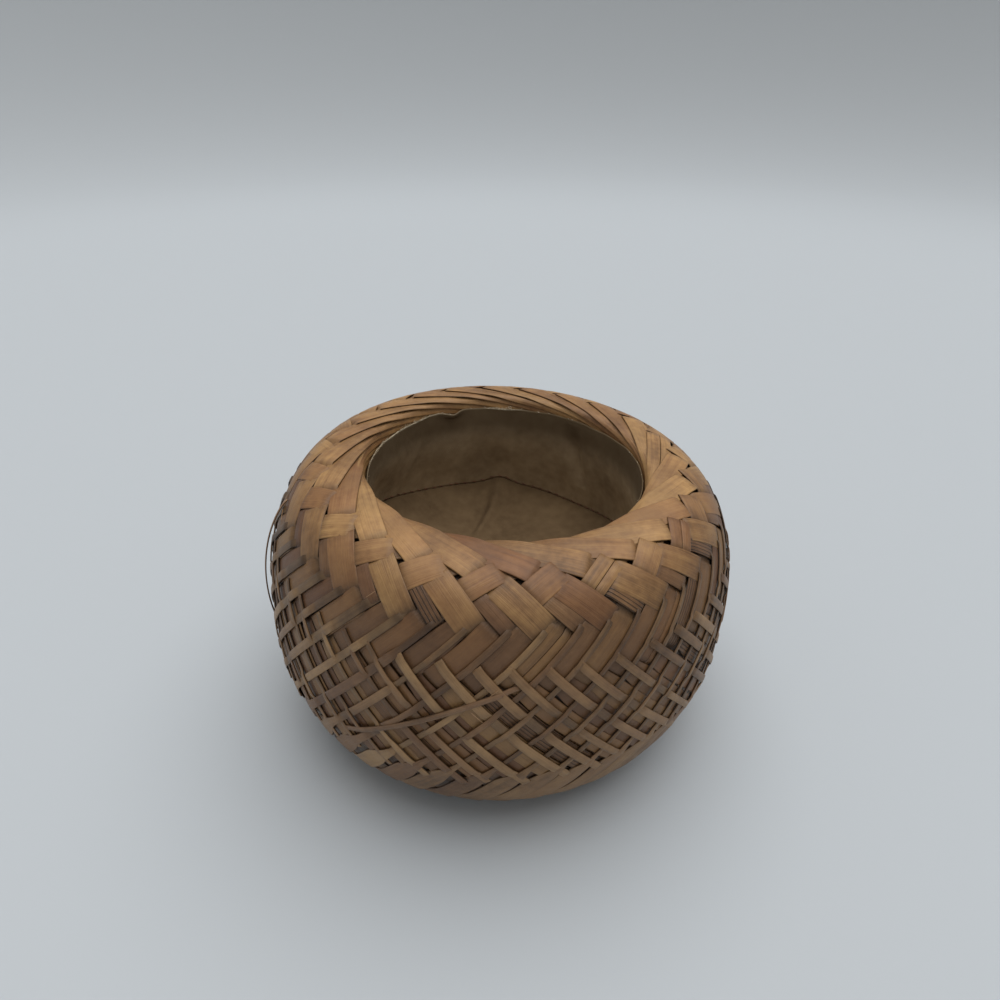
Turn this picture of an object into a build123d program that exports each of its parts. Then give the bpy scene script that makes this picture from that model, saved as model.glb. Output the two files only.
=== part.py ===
from build123d import *
import os
import numpy as np

# A woven basket bowl: a squat globe of flat split-wood strips with a wide mouth.
# Everything is in millimetres. The origin is the middle of the footprint, on the ground, +Z up.
#
# The outer form is a "skin": a curve turned about Z. It starts on the flat of the foot, runs up
# the wall to the crest of the rim, rolls over the crest and drops down inside the mouth.
# A place on it is an arc length from the foot edge and an azimuth. Depth is measured from the
# skin into the wall, so the layers of splints, the inner basket and the lining stack by depth.

# Form of the skin, over the wide splints
belly_radius = 88.2
belly_height = 43.0
basket_height = 106.0
rim_radius = 54.4
foot_radius = 57.0
rim_roll_radius = 2.6
rim_fold_depth = 6.0
foot_power_share = 2.0
shoulder_power_share = 2.75

# Wide splints of the wall: each family has this many, with a companion strip in each gap
splint_count = 24
splint_width = 9.4
splint_thickness = 0.7
companion_width = 5.2
layer_gap = 0.15
wide_pitch_share = 0.56
full_pitch_share = 0.9
companion_pitch_share = 0.31

# Lean of the splints from the upright, and how they sweep round towards the rim
lean_angle = 42.0
sweep_angle = 80.0
sweep_start_share = 0.745
right_azimuth = 10.5
left_azimuth = 10.5

# Where the strips end, as arc lengths down from the crest
left_tuck = 12.5
companion_tuck = 22.0
widening_clearance = 1.5
widening_run = 8.0

# Narrow lattice strips over the lower half of the wall. The left ones widen into blocks above it.
lattice_count = 48
lattice_width = 2.7
lattice_thickness = 0.8
lattice_gap = 0.1
lattice_start = 47.0
right_lattice_end = 97.0
left_lattice_end = 106.0
block_width = 6.8
block_start = 90.0
block_run = 10.0

# Inner basket, in a bottom, a wall and a shoulder, and the hoop in the rim
inner_wall = 1.2
inner_gap = 0.3
inner_shoulder_height = 72.0

# Plaited bottom, with an odd number of splints so that one lies across the middle
base_splint_count = 11
base_splint_gap = 1.3
base_edge_gap = 0.3

# Cloth lining
lining_thickness = 0.6
lining_drop = 4.3
lining_floor_spread = 1.6
lining_floor_height = 62.0
lining_floor_sag = 9.0
lining_bulge = 1.6

# Steps of the curves
skin_step = 0.2
splint_step = 6.5
lattice_step = 8.0
wall_step = 7.0
curve_samples = 400

crest_height = basket_height
hoop_radius = rim_roll_radius - splint_thickness - layer_gap
right_depth = 0.0
left_depth = right_depth + splint_thickness + layer_gap
inner_depth = left_depth + splint_thickness + inner_gap
lattice_left_depth = -(lattice_gap + lattice_thickness)
lattice_right_depth = lattice_left_depth - lattice_gap - lattice_thickness
lining_floor_radius = rim_radius + lining_floor_spread


def skin_outline():
    """Points of the skin: flat of the foot, two power curves, the roll and the inner fold."""
    turn = np.linspace(0, np.pi / 2, curve_samples)
    flat_r = np.array([foot_radius - splint_width])
    low_r = foot_radius + (belly_radius - foot_radius) * np.sin(turn) ** (2 / foot_power_share)
    low_z = belly_height * (1 - np.cos(turn) ** (2 / foot_power_share))
    rise = crest_height - belly_height
    high_r = rim_radius + (belly_radius - rim_radius) * np.cos(turn) ** (2 / shoulder_power_share)
    high_z = belly_height + rise * np.sin(turn) ** (2 / shoulder_power_share)
    roll_r = rim_radius - rim_roll_radius * np.sin(turn)
    roll_z = crest_height - rim_roll_radius * (1 - np.cos(turn))
    fold_z = np.array([crest_height - rim_roll_radius - rim_fold_depth - splint_width])
    radius = np.concatenate([flat_r, low_r, high_r[1:], roll_r[1:], roll_r[-1:]])
    height = np.concatenate([flat_r * 0, low_z, high_z[1:], roll_z[1:], fold_z])
    return radius, height


def resample(radius, height):
    """Even steps of arc along the outline, with arc zero at the foot edge."""
    arc = np.concatenate([[0], np.cumsum(np.hypot(np.diff(radius), np.diff(height)))])
    arc = arc - splint_width
    even = np.arange(arc[0], arc[-1], skin_step)
    return even, np.interp(even, arc, radius), np.interp(even, arc, height)


skin_arc, skin_radius, skin_height = resample(*skin_outline())
tangent_r = np.gradient(skin_radius, skin_arc)
tangent_z = np.gradient(skin_height, skin_arc)
tangent_length = np.hypot(tangent_r, tangent_z)
normal_r = tangent_z / tangent_length
normal_z = -tangent_r / tangent_length
on_body = skin_arc < skin_arc[np.argmax(skin_height)]
crest_arc = float(skin_arc[on_body][-1])
fold_end_arc = crest_arc + rim_roll_radius * np.pi / 2 + rim_fold_depth


def lean_at(arc):
    """Angle of a splint from the upright: steady on the wall, near level at the crest."""
    start = sweep_start_share * crest_arc
    share = np.clip((arc - start) / (crest_arc - start), 0, 1)
    return np.radians(lean_angle + (sweep_angle - lean_angle) * share**2)


skin_turn = np.concatenate([[0], np.cumsum((np.tan(lean_at(skin_arc)) / skin_radius)[1:] * skin_step)])
skin_path = np.concatenate([[0], np.cumsum(skin_step / np.cos(lean_at(skin_arc))[1:])])


def skin_point(arc, azimuth, depth):
    """A point at an arc length and an azimuth in radians, sunk into the wall by depth."""
    radius = np.interp(arc, skin_arc, skin_radius) - depth * np.interp(arc, skin_arc, normal_r)
    height = np.interp(arc, skin_arc, skin_height) - depth * np.interp(arc, skin_arc, normal_z)
    return Vector(float(radius * np.cos(azimuth)), float(radius * np.sin(azimuth)), float(height))


def turn_at(arc):
    """Azimuth in radians that a splint has turned through by this arc, from its lower end."""
    return float(np.interp(arc, skin_arc, skin_turn))


def pitch_at(arc, count):
    """Distance between the middles of neighbouring strips, measured square to them."""
    return 2 * np.pi * np.interp(arc, skin_arc, skin_radius) / count * np.cos(lean_at(arc))


def wide_width(arc):
    """A wide splint shares its pitch with a companion low down, and has it alone above."""
    companion_top = crest_arc - companion_tuck
    widening = np.clip((arc - companion_top - widening_clearance) / widening_run, 0, 1)
    share = wide_pitch_share + (full_pitch_share - wide_pitch_share) * widening
    return min(splint_width, share * pitch_at(arc, splint_count))


def companion_strip_width(arc):
    """A companion strip fills part of the gap between two wide splints."""
    return min(companion_width, companion_pitch_share * pitch_at(arc, splint_count))


def lattice_right_width(arc):
    """A right-hand lattice strip keeps its own width unless the strips would meet."""
    return min(lattice_width, full_pitch_share * pitch_at(arc, lattice_count))


def lattice_left_width(arc):
    """A left-hand lattice strip widens into a block above the lattice."""
    widening = np.clip((arc - block_start) / block_run, 0, 1)
    width = lattice_width + (block_width - lattice_width) * widening
    return min(width, full_pitch_share * pitch_at(arc, lattice_count))


def section(arc, hand, width, outer_depth, thickness):
    """Flat cross-section of a strip: two curved edges on the skin's layers and two short sides."""
    lean = lean_at(arc)
    middle = skin_point(arc, hand * turn_at(arc), outer_depth)
    ahead = skin_point(arc + skin_step, hand * turn_at(arc + skin_step), outer_depth)
    heading = (ahead - middle).normalized()
    rows = []
    for depth in (outer_depth, outer_depth + thickness):
        row = []
        for side in (-1, 0, 1):
            reach = side * width / 2
            edge_arc = arc - reach * np.sin(lean)
            edge_turn = turn_at(arc) + reach * np.cos(lean) / np.interp(edge_arc, skin_arc, skin_radius)
            point = skin_point(edge_arc, hand * edge_turn, depth)
            row.append(point - heading * (point - middle).dot(heading))
        rows.append(row)
    outer, inner = rows
    return Wire([
        Bezier(outer[0], 2 * outer[1] - (outer[0] + outer[2]) / 2, outer[2]),
        Line(outer[2], inner[2]),
        Bezier(inner[2], 2 * inner[1] - (inner[0] + inner[2]) / 2, inner[0]),
        Line(inner[0], outer[0]),
    ])


def strip(start, end, hand, width_at, outer_depth, thickness, step):
    """One strip lofted along its path. Hand +1 climbs anticlockwise seen from above, -1 clockwise."""
    path_start, path_end = np.interp([start, end], skin_arc, skin_path)
    stations = max(4, int(round((path_end - path_start) / step)))
    arcs = np.interp(np.linspace(path_start, path_end, stations), skin_path, skin_arc)
    wires = [section(arc, hand, width_at(arc), outer_depth, thickness) for arc in arcs]
    return Solid.make_loft(wires)


def ring(shape, count, first_azimuth):
    """Copies of one strip evenly round the basket."""
    return [shape.rotate(Axis.Z, first_azimuth + 360 / count * place) for place in range(count)]


def layer_arcs(start, end, depth):
    """Arcs through points of one layer of the wall, in the XZ plane, between two skin arcs."""
    spans = max(2, int(round((end - start) / (2 * wall_step))))
    points = [skin_point(arc, 0, depth) for arc in np.linspace(start, end, 2 * spans + 1)]
    return [ThreePointArc(*points[2 * span:2 * span + 3]) for span in range(spans)]


def arc_at_height(height):
    """Skin arc at a height on the wall."""
    return float(np.interp(height, skin_height[on_body], skin_arc[on_body]))


def arc_at_radius(radius):
    """Skin arc at a radius on the shoulder, above the belly."""
    shoulder = on_body & (skin_height > belly_height)
    return float(np.interp(-radius, -skin_radius[shoulder], skin_arc[shoulder]))


def inner_bottom():
    """The flat bottom of the foundation, inside the foot of its wall."""
    return Plane.XY.offset(inner_depth) * extrude(Circle(foot_radius - base_edge_gap), inner_wall)


def inner_band(start, end):
    """A band of the foundation's wall between two skin arcs."""
    outer = layer_arcs(start, end, inner_depth)
    inner = layer_arcs(start, end, inner_depth + inner_wall)
    outline = Wire([
        Line(inner[0] @ 0, outer[0] @ 0),
        *outer,
        Line(outer[-1] @ 1, inner[-1] @ 1),
        *inner,
    ])
    return revolve(Face(outline), Axis.Z, 360)


def rim_hoop():
    """The round hoop that the splints are folded over."""
    middle = Plane.XY.offset(crest_height - rim_roll_radius)
    return middle * Torus(rim_radius, hoop_radius)


def base_splints(depth, quarter_turn):
    """One layer of flat splints side by side, cut to the round of the bottom."""
    radius = foot_radius - base_edge_gap
    pitch = 2 * radius / base_splint_count
    low = Plane.XY.offset(depth)
    disc = low * extrude(Circle(radius), splint_thickness)
    solids = []
    for place in range(base_splint_count):
        offset = (place + 0.5) * pitch - radius
        plank = extrude(Rectangle(2 * radius, pitch - base_splint_gap), splint_thickness)
        laid = low * Rot(0, 0, quarter_turn) * Pos(0, offset) * plank
        solids.extend((disc & laid).solids())
    return solids


def lining_wall():
    """The cloth tube that hangs inside the rim, bellied out a little."""
    top_radius = rim_radius - rim_roll_radius - inner_gap
    top = Vector(top_radius, 0, crest_height - lining_drop)
    hem_length = rim_roll_radius + rim_fold_depth - lining_drop + layer_gap
    hem = top - Vector(0, 0, hem_length)
    foot = Vector(lining_floor_radius, 0, lining_floor_height + layer_gap)
    cloth = Vector(lining_thickness, 0, 0)
    middle = (hem + foot) / 2 + Vector(lining_bulge, 0, 0)
    outline = Wire([
        Line(top, hem),
        ThreePointArc(hem, middle, foot),
        Line(foot, foot - cloth),
        ThreePointArc(foot - cloth, middle - cloth, hem - cloth),
        Line(hem - cloth, top - cloth),
        Line(top - cloth, top),
    ])
    return revolve(Face(outline), Axis.Z, 360)


def lining_floor():
    """The round cloth bottom, hanging a little lower in the middle."""
    bowl = (lining_floor_radius**2 + lining_floor_sag**2) / (2 * lining_floor_sag)
    half = lining_floor_radius / 2
    rise = bowl - np.sqrt(bowl**2 - half**2)
    low = Vector(0, 0, lining_floor_height - lining_floor_sag)
    middle = low + Vector(half, 0, float(rise))
    edge = Vector(lining_floor_radius, 0, lining_floor_height)
    cloth = Vector(0, 0, lining_thickness)
    outline = Wire([
        ThreePointArc(low - cloth, middle - cloth, edge - cloth),
        Line(edge - cloth, edge),
        ThreePointArc(edge, middle, low),
        Line(low, low - cloth),
    ])
    return revolve(Face(outline), Axis.Z, 360)


def write(name, solids):
    """Write one node, a single solid or a group of separate ones."""
    shape = solids[0] if len(solids) == 1 else Compound(solids)
    export_step(shape, f"parts/{name}.step")


def wall_strips(hand, depth, top):
    """A wide splint and a companion strip of one family, at azimuth zero."""
    start = splint_width / 2
    wide = strip(start, top, hand, wide_width, depth, splint_thickness, splint_step)
    companion_top = crest_arc - companion_tuck
    companion = strip(start, companion_top, hand, companion_strip_width, depth, splint_thickness, splint_step)
    return wide, companion


def main():
    """Build every piece and write it."""
    os.makedirs("parts", exist_ok=True)
    half_pitch = 180 / splint_count
    families = {
        "right": (-1, right_depth, fold_end_arc, right_azimuth),
        "left": (1, left_depth, crest_arc - left_tuck, left_azimuth),
    }
    for family, (hand, depth, top, azimuth) in families.items():
        wide, companion = wall_strips(hand, depth, top)
        for place, splint in enumerate(ring(wide, splint_count, azimuth), start=1):
            write(f"{family}_splint_{place:02d}", [splint])
        write(f"{family}_companion_strips", ring(companion, splint_count, azimuth + half_pitch))
    lattice = {
        "left": (1, lattice_left_depth, left_lattice_end, lattice_left_width),
        "right": (-1, lattice_right_depth, right_lattice_end, lattice_right_width),
    }
    for family, (hand, depth, end, width_at) in lattice.items():
        narrow = strip(lattice_start, end, hand, width_at, depth, lattice_thickness, lattice_step)
        write(f"lattice_{family}_strips", ring(narrow, lattice_count, families[family][3]))
    shoulder_arc = arc_at_height(inner_shoulder_height)
    mouth_arc = arc_at_radius(rim_radius + hoop_radius + layer_gap)
    write("inner_basket_bottom", [inner_bottom().solid()])
    write("inner_basket_wall", [inner_band(0, shoulder_arc).solid()])
    write("inner_basket_shoulder", [inner_band(shoulder_arc, mouth_arc).solid()])
    write("rim_hoop", [rim_hoop().solid()])
    write("base_splints_lengthwise", base_splints(right_depth, 0))
    write("base_splints_crosswise", base_splints(left_depth, 90))
    write("lining_wall", [lining_wall().solid()])
    write("lining_floor", [lining_floor().solid()])


main()
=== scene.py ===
import logging
from dataclasses import dataclass, field
from enum import Enum
from typing import Callable

import bpy
import numpy as np
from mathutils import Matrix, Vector


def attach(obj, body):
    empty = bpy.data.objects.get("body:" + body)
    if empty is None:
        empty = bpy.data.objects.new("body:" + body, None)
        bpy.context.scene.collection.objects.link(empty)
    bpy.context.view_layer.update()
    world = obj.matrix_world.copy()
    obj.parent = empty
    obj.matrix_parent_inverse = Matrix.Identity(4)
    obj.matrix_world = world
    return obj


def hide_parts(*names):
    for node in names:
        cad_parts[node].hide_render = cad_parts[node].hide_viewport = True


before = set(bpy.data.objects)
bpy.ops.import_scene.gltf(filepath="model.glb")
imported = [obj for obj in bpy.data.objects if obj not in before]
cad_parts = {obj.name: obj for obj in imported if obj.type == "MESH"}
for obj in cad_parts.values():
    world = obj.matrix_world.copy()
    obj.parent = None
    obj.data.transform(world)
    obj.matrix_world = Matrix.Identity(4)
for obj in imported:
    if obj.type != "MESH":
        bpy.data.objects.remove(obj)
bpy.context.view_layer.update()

# A woven basket bowl of flat wood strips with a cloth lining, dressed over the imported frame.
# Sizes are in millimetres and angles in degrees, and meshes are written in metres.
# Azimuth is measured from +X towards +Y. Arc is the distance up the skin from the foot edge.

MILLIMETRE = 0.001
SEED = 7
TUBE_END_SHARE = 0.35  # radius of a thread's open end as a share of its radius
FAMILY_STEP = 60  # strip numbers from one family to the next
PATTERN_STEP = 20.0  # millimetres of pattern from one strip to the next
TUBE_STEP = 0.05  # centimetres of pattern for each step along a thread
log = logging.getLogger("basket")

Rgb = tuple[float, float, float]


def hill(azimuth: np.ndarray, centre: np.ndarray | float, spread: float) -> np.ndarray:
    """A bell of height one round an azimuth, where spread is the distance at which it falls to 1/e."""
    away = (azimuth - centre + 180) % 360 - 180
    return np.exp(-((away / spread) ** 2))


def around(radius: np.ndarray, azimuth: np.ndarray, height: np.ndarray) -> np.ndarray:
    """Points from radii, azimuths in degrees and heights, with X, Y and Z last."""
    angle = np.radians(azimuth)
    return np.stack(np.broadcast_arrays(radius * np.cos(angle), radius * np.sin(angle), height), axis=-1)


def smooth(x: np.ndarray) -> np.ndarray:
    """A step from 0 to 1 centred on zero and one unit long, flat at both ends."""
    t = np.clip(x + 0.5, 0, 1)
    return t * t * (3 - 2 * t)


def mixed(first: np.ndarray | float, second: np.ndarray | float, share: np.ndarray) -> np.ndarray:
    """The first at a share of zero, the second at one, and evenly between."""
    return first + (second - first) * share


def full_turn(count: int) -> np.ndarray:
    """Azimuths at even steps once round."""
    return np.linspace(0, 360, count, endpoint=False)


def linear(colour: Rgb) -> tuple[float, float, float, float]:
    """Turns a display colour of 0 to 255 into a linear colour with alpha.

    Args:
        colour: Red, green and blue as a screen shows them.

    Returns:
        The colour as the renderer uses it.
    """
    share = np.array(colour) / 255
    low, high = share / 12.92, ((share + 0.055) / 1.055) ** 2.4
    return (*np.where(share <= 0.04045, low, high).tolist(), 1.0)


# Forms


class Hand(Enum):
    """Which way a strip turns as it climbs, seen from above."""

    LEFT = 1
    RIGHT = -1


@dataclass
class Skin:
    """The outer form of the basket: a curve turned about Z, with the lean of a handmade mouth.

    The curve runs along the flat of the foot, up two power curves that meet at the belly, over the
    rim roll and down the fold inside the mouth.
    """

    belly_radius: float = 88.2
    belly_height: float = 43.0
    height: float = 106.0
    rim_radius: float = 54.4
    foot_radius: float = 57.0
    roll_radius: float = 2.6
    fold_depth: float = 6.0
    run_on: float = 56.5
    foot_power: float = 2.0
    shoulder_power: float = 2.75
    lean_angle: float = 42.0
    sweep_angle: float = 80.0
    sweep_start_share: float = 0.745
    foot_lean_angle: float = 35.0
    foot_sweep_arc: float = 58.0
    foot_sweep_run: float = 14.0
    anchor_arc: float = 62.5
    anchor_turn: float = 48.75
    mouth_shift: float = 3.68
    mouth_tilt_share: float = -0.05
    step: float = 0.2
    samples: int = 400

    def __post_init__(self) -> None:
        """Works out the curve at even steps of arc, with its normal and the turn of a strip on it."""
        radius, height = self.outline()
        arc = np.concatenate([[0], np.cumsum(np.hypot(np.diff(radius), np.diff(height)))]) - self.run_on
        self.arcs = np.arange(arc[0], arc[-1], self.step)
        self.radii = np.interp(self.arcs, arc, radius)
        self.heights = np.interp(self.arcs, arc, height)
        along_r, along_z = np.gradient(self.radii, self.arcs), np.gradient(self.heights, self.arcs)
        length = np.hypot(along_r, along_z)
        self.normal_r, self.normal_z = along_z / length, -along_r / length
        self.crest = float(self.arcs[np.argmax(self.heights)])
        self.fold_end = self.crest + self.roll_radius * np.pi / 2 + self.fold_depth
        slope = np.tan(self.lean(self.arcs))
        turns = np.degrees(np.concatenate([[0], np.cumsum((slope / self.radii)[1:] * self.step)]))
        self.turns = turns - np.interp(self.anchor_arc, self.arcs, turns) + self.anchor_turn
        self.paths = np.concatenate([[0], np.cumsum(np.hypot(1, slope)[1:] * self.step)])

    def outline(self) -> tuple[np.ndarray, np.ndarray]:
        """Radius and height along the curve.

        Below the belly the radius is foot + (belly - foot) sin(t)^(2/p) and the height is
        belly height * (1 - cos(t)^(2/p)), where p is the power of the foot. Above it the radius is
        rim + (belly - rim) cos(t)^(2/q) and the height rises by sin(t)^(2/q), where q is the power of
        the shoulder. The roll is a quarter circle.

        Returns:
            Two arrays from the flat of the foot to the end of the fold.
        """
        t = np.linspace(0, np.pi / 2, self.samples)
        low_power, high_power = 2 / self.foot_power, 2 / self.shoulder_power
        low_r = self.foot_radius + (self.belly_radius - self.foot_radius) * np.sin(t) ** low_power
        low_z = self.belly_height * (1 - np.cos(t) ** low_power)
        high_r = self.rim_radius + (self.belly_radius - self.rim_radius) * np.cos(t) ** high_power
        high_z = self.belly_height + (self.height - self.belly_height) * np.sin(t) ** high_power
        roll_r = self.rim_radius - self.roll_radius * np.sin(t)
        roll_z = self.height - self.roll_radius * (1 - np.cos(t))
        end_z = self.height - self.roll_radius - self.fold_depth - self.run_on
        start_r = self.foot_radius - self.run_on
        radius = np.concatenate([[start_r], low_r, high_r[1:], roll_r[1:], roll_r[-1:]])
        height = np.concatenate([[0], low_z, high_z[1:], roll_z[1:], [end_z]])
        return radius, height

    def lean(self, arc: np.ndarray) -> np.ndarray:
        """Angle in radians of a strip from the upright: steady on the wall, flatter at the crest and foot.

        Args:
            arc: Distances up the skin.

        Returns:
            Angles in radians.
        """
        start = self.sweep_start_share * self.crest
        share = np.clip((arc - start) / (self.crest - start), 0, 1)
        foot = smooth((self.foot_sweep_arc - arc) / self.foot_sweep_run - 0.5)
        angle = mixed(self.lean_angle, self.sweep_angle, share**2)
        return np.radians(angle + (self.foot_lean_angle - self.lean_angle) * foot)

    def turn(self, arc: np.ndarray) -> np.ndarray:
        """Azimuth that a strip has turned through by this arc."""
        return np.interp(arc, self.arcs, self.turns)

    def arc_at_turn(self, turn: float) -> float:
        """Arc at which a strip has turned through this azimuth."""
        return float(np.interp(turn, self.turns, self.arcs))

    def radius(self, arc: np.ndarray) -> np.ndarray:
        """Radius of the skin at this arc."""
        return np.interp(arc, self.arcs, self.radii)

    def stations(self, start: float, end: float, spacing: float) -> np.ndarray:
        """Arcs at even distances along a strip between two arcs.

        Args:
            start: Arc of the lower end.
            end: Arc of the upper end.
            spacing: Distance wanted between stations, along the strip.

        Returns:
            Arcs of the stations.
        """
        first, last = np.interp([start, end], self.arcs, self.paths)
        count = max(4, int(round((last - first) / spacing)))
        return np.interp(np.linspace(first, last, count), self.paths, self.arcs)

    def settle(self, points: np.ndarray) -> np.ndarray:
        """Shifts and tilts points towards the mouth by the square of their share of the height.

        Args:
            points: Places in millimetres, with X, Y and Z last.

        Returns:
            The same places on the leaning basket.
        """
        share = np.clip(points[..., 2] / self.height, 0, 1) ** 2
        moved = points.copy()
        moved[..., 0] += self.mouth_shift * share
        moved[..., 2] += self.mouth_tilt_share * points[..., 0] * share
        return moved

    def place(self, arc: np.ndarray, azimuth: np.ndarray, lift: np.ndarray) -> np.ndarray:
        """Points at an arc and an azimuth, raised off the skin along its normal.

        Args:
            arc: Distances up the skin.
            azimuth: Azimuths in degrees.
            lift: Heights over the skin, below zero inside it.

        Returns:
            Points in millimetres, with X, Y and Z last.
        """
        radius = self.radius(arc) + lift * np.interp(arc, self.arcs, self.normal_r)
        height = np.interp(arc, self.arcs, self.heights) + lift * np.interp(arc, self.arcs, self.normal_z)
        return self.settle(around(radius, azimuth, height))


@dataclass
class Surface:
    """One sheet of quads with its own pattern coordinates and marks.

    Attributes:
        points: Vertices in millimetres, one row each.
        quads: Four vertex numbers a face.
        pattern: Pattern coordinates of each vertex in centimetres, along and across.
        period: Pattern length after which a closed ring starts again, or zero.
        caps: Faces of more sides that close the ends, one array each.
        marks: Named numbers for the finish, one a vertex.
    """

    points: np.ndarray
    quads: np.ndarray
    pattern: np.ndarray
    period: float = 0.0
    caps: list[np.ndarray] = field(default_factory=list)
    marks: dict[str, np.ndarray] = field(default_factory=dict)

    def outward(self) -> "Surface":
        """Turns the faces over if the enclosed volume comes out negative.

        Returns:
            The surface itself.
        """
        a, b, c, d = (self.points[self.quads[:, corner]] for corner in range(4))
        volume = np.einsum("ij,ij->", a, np.cross(b, c)) + np.einsum("ij,ij->", a, np.cross(c, d))
        if volume < 0:
            self.quads = self.quads[:, ::-1]
            self.caps = [cap[::-1] for cap in self.caps]
        return self

    def corner_pattern(self) -> np.ndarray:
        """Pattern coordinates of every face corner, carried on past the place where a ring closes.

        Returns:
            Two numbers for each corner, quads first.
        """
        quad_pattern = self.pattern[self.quads]
        if self.period:
            along = quad_pattern[..., 0]
            quad_pattern[..., 0] -= self.period * np.round((along - along[:, :1]) / self.period)
        return np.concatenate([quad_pattern.reshape(-1, 2), *(self.pattern[cap] for cap in self.caps)])


def grid_quads(rows: int, columns: int, wrap_columns: bool, wrap_rows: bool = False) -> np.ndarray:
    """Quads that join a grid of vertices numbered row by row.

    Args:
        rows: Vertices along.
        columns: Vertices across.
        wrap_columns: Joins the last column to the first.
        wrap_rows: Joins the last row to the first.

    Returns:
        Four vertex numbers a quad.
    """
    row = np.arange(rows if wrap_rows else rows - 1)[:, None]
    column = np.arange(columns if wrap_columns else columns - 1)[None, :]
    next_row, next_column = (row + 1) % rows, (column + 1) % columns
    corners = [row * columns + column, row * columns + next_column,
               next_row * columns + next_column, next_row * columns + column]
    return np.stack(np.broadcast_arrays(*corners), axis=-1).reshape(-1, 4)


def end_caps(rows: int, columns: int) -> list[np.ndarray]:
    """Faces that close the first and the last row of a grid, the same way round as its quads."""
    return [np.arange(columns)[::-1], (rows - 1) * columns + np.arange(columns)]


def swept(points: np.ndarray, pattern: np.ndarray, marks: dict[str, np.ndarray]) -> Surface:
    """A closed form from a grid of sections, with both ends capped.

    Args:
        points: Places in millimetres, in rows along and columns round each section.
        pattern: Pattern coordinates on the same grid.
        marks: Marks on the same grid, or numbers that hold for the whole form.

    Returns:
        The form as one closed surface.
    """
    rows, columns = points.shape[:2]
    spread = {name: np.broadcast_to(mark, (rows, columns)).ravel() for name, mark in marks.items()}
    return Surface(points.reshape(-1, 3), grid_quads(rows, columns, True), pattern.reshape(-1, 2),
                   caps=end_caps(rows, columns), marks=spread).outward()


def shell(outer: np.ndarray, inner: np.ndarray, pattern: np.ndarray, period: float,
          marks: dict[str, np.ndarray], dish: bool = False) -> Surface:
    """A closed wall between two grids of points.

    Args:
        outer: Points of the outside, in rows along and columns round the ring.
        inner: Points of the inside, on the same grid.
        pattern: Pattern coordinates on the same grid.
        period: Pattern length once round the ring.
        marks: Marks on the same grid.
        dish: Whether the first row closes at the centre, so that the wall is no open ring.

    Returns:
        The wall as one closed surface.
    """
    rows, columns = outer.shape[:2]
    points = np.concatenate([outer, inner[::-1]]).reshape(-1, 3)
    doubled = np.concatenate([pattern, pattern[::-1]]).reshape(-1, 2)
    spread = {name: np.broadcast_to(mark, (rows, columns)) for name, mark in marks.items()}
    both = {name: np.concatenate([mark, mark[::-1]]).ravel() for name, mark in spread.items()}
    quads = grid_quads(2 * rows, columns, True, not dish)
    caps = end_caps(2 * rows, columns) if dish else []
    return Surface(points, quads, doubled, period, caps, both).outward()


def tubes(paths: np.ndarray, radius: float, sides: int = 6, closed: bool = False) -> Surface:
    """Round threads or rods along paths, all in one surface.

    Each ring lies square to its path: the path's place plus the radius times the cosine of the ring
    angle along one normal and the sine along the other. Open ends draw in and are capped.

    Args:
        paths: Places in millimetres, indexed by thread, step and axis.
        radius: Radius of the thread.
        sides: Corners of each ring.
        closed: Whether each path runs round to its start.

    Returns:
        The threads as one surface.
    """
    count, steps, _ = paths.shape
    if closed:
        tangent = np.roll(paths, -1, axis=1) - np.roll(paths, 1, axis=1)
    else:
        tangent = np.gradient(paths, axis=1)
    tangent /= np.linalg.norm(tangent, axis=-1, keepdims=True)
    upright = np.where(np.abs(tangent[..., 2:]) < 0.9, (0.0, 0.0, 1.0), (1.0, 0.0, 0.0))
    first = np.cross(tangent, upright)
    first /= np.linalg.norm(first, axis=-1, keepdims=True)
    second = np.cross(tangent, first)
    ring = 2 * np.pi * np.arange(sides) / sides
    size = np.full(steps, radius)
    if not closed:
        size[[0, -1]] *= TUBE_END_SHARE
    spoke = first[:, :, None] * np.cos(ring)[:, None] + second[:, :, None] * np.sin(ring)[:, None]
    points = paths[:, :, None] + spoke * size[:, None, None]
    one = grid_quads(steps, sides, True, closed)
    starts = np.arange(count) * steps * sides
    quads = (one[None] + starts[:, None, None]).reshape(-1, 4)
    caps = [] if closed else [start + cap for start in starts for cap in end_caps(steps, sides)]
    along = np.broadcast_to(np.arange(steps)[None, :, None] * TUBE_STEP, (count, steps, sides))
    across = np.broadcast_to(ring * radius / 10, along.shape)
    pattern = np.stack([along, across], axis=-1).reshape(-1, 2)
    return Surface(points.reshape(-1, 3), quads, pattern, caps=caps).outward()


def add_object(name: str, data: bpy.types.ID) -> bpy.types.Object:
    """Puts a mesh, a light or a camera into the scene.

    Args:
        name: Name of the object.
        data: What it shows.

    Returns:
        The object.
    """
    made = bpy.data.objects.new(name, data)
    bpy.context.scene.collection.objects.link(made)
    return made


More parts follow.
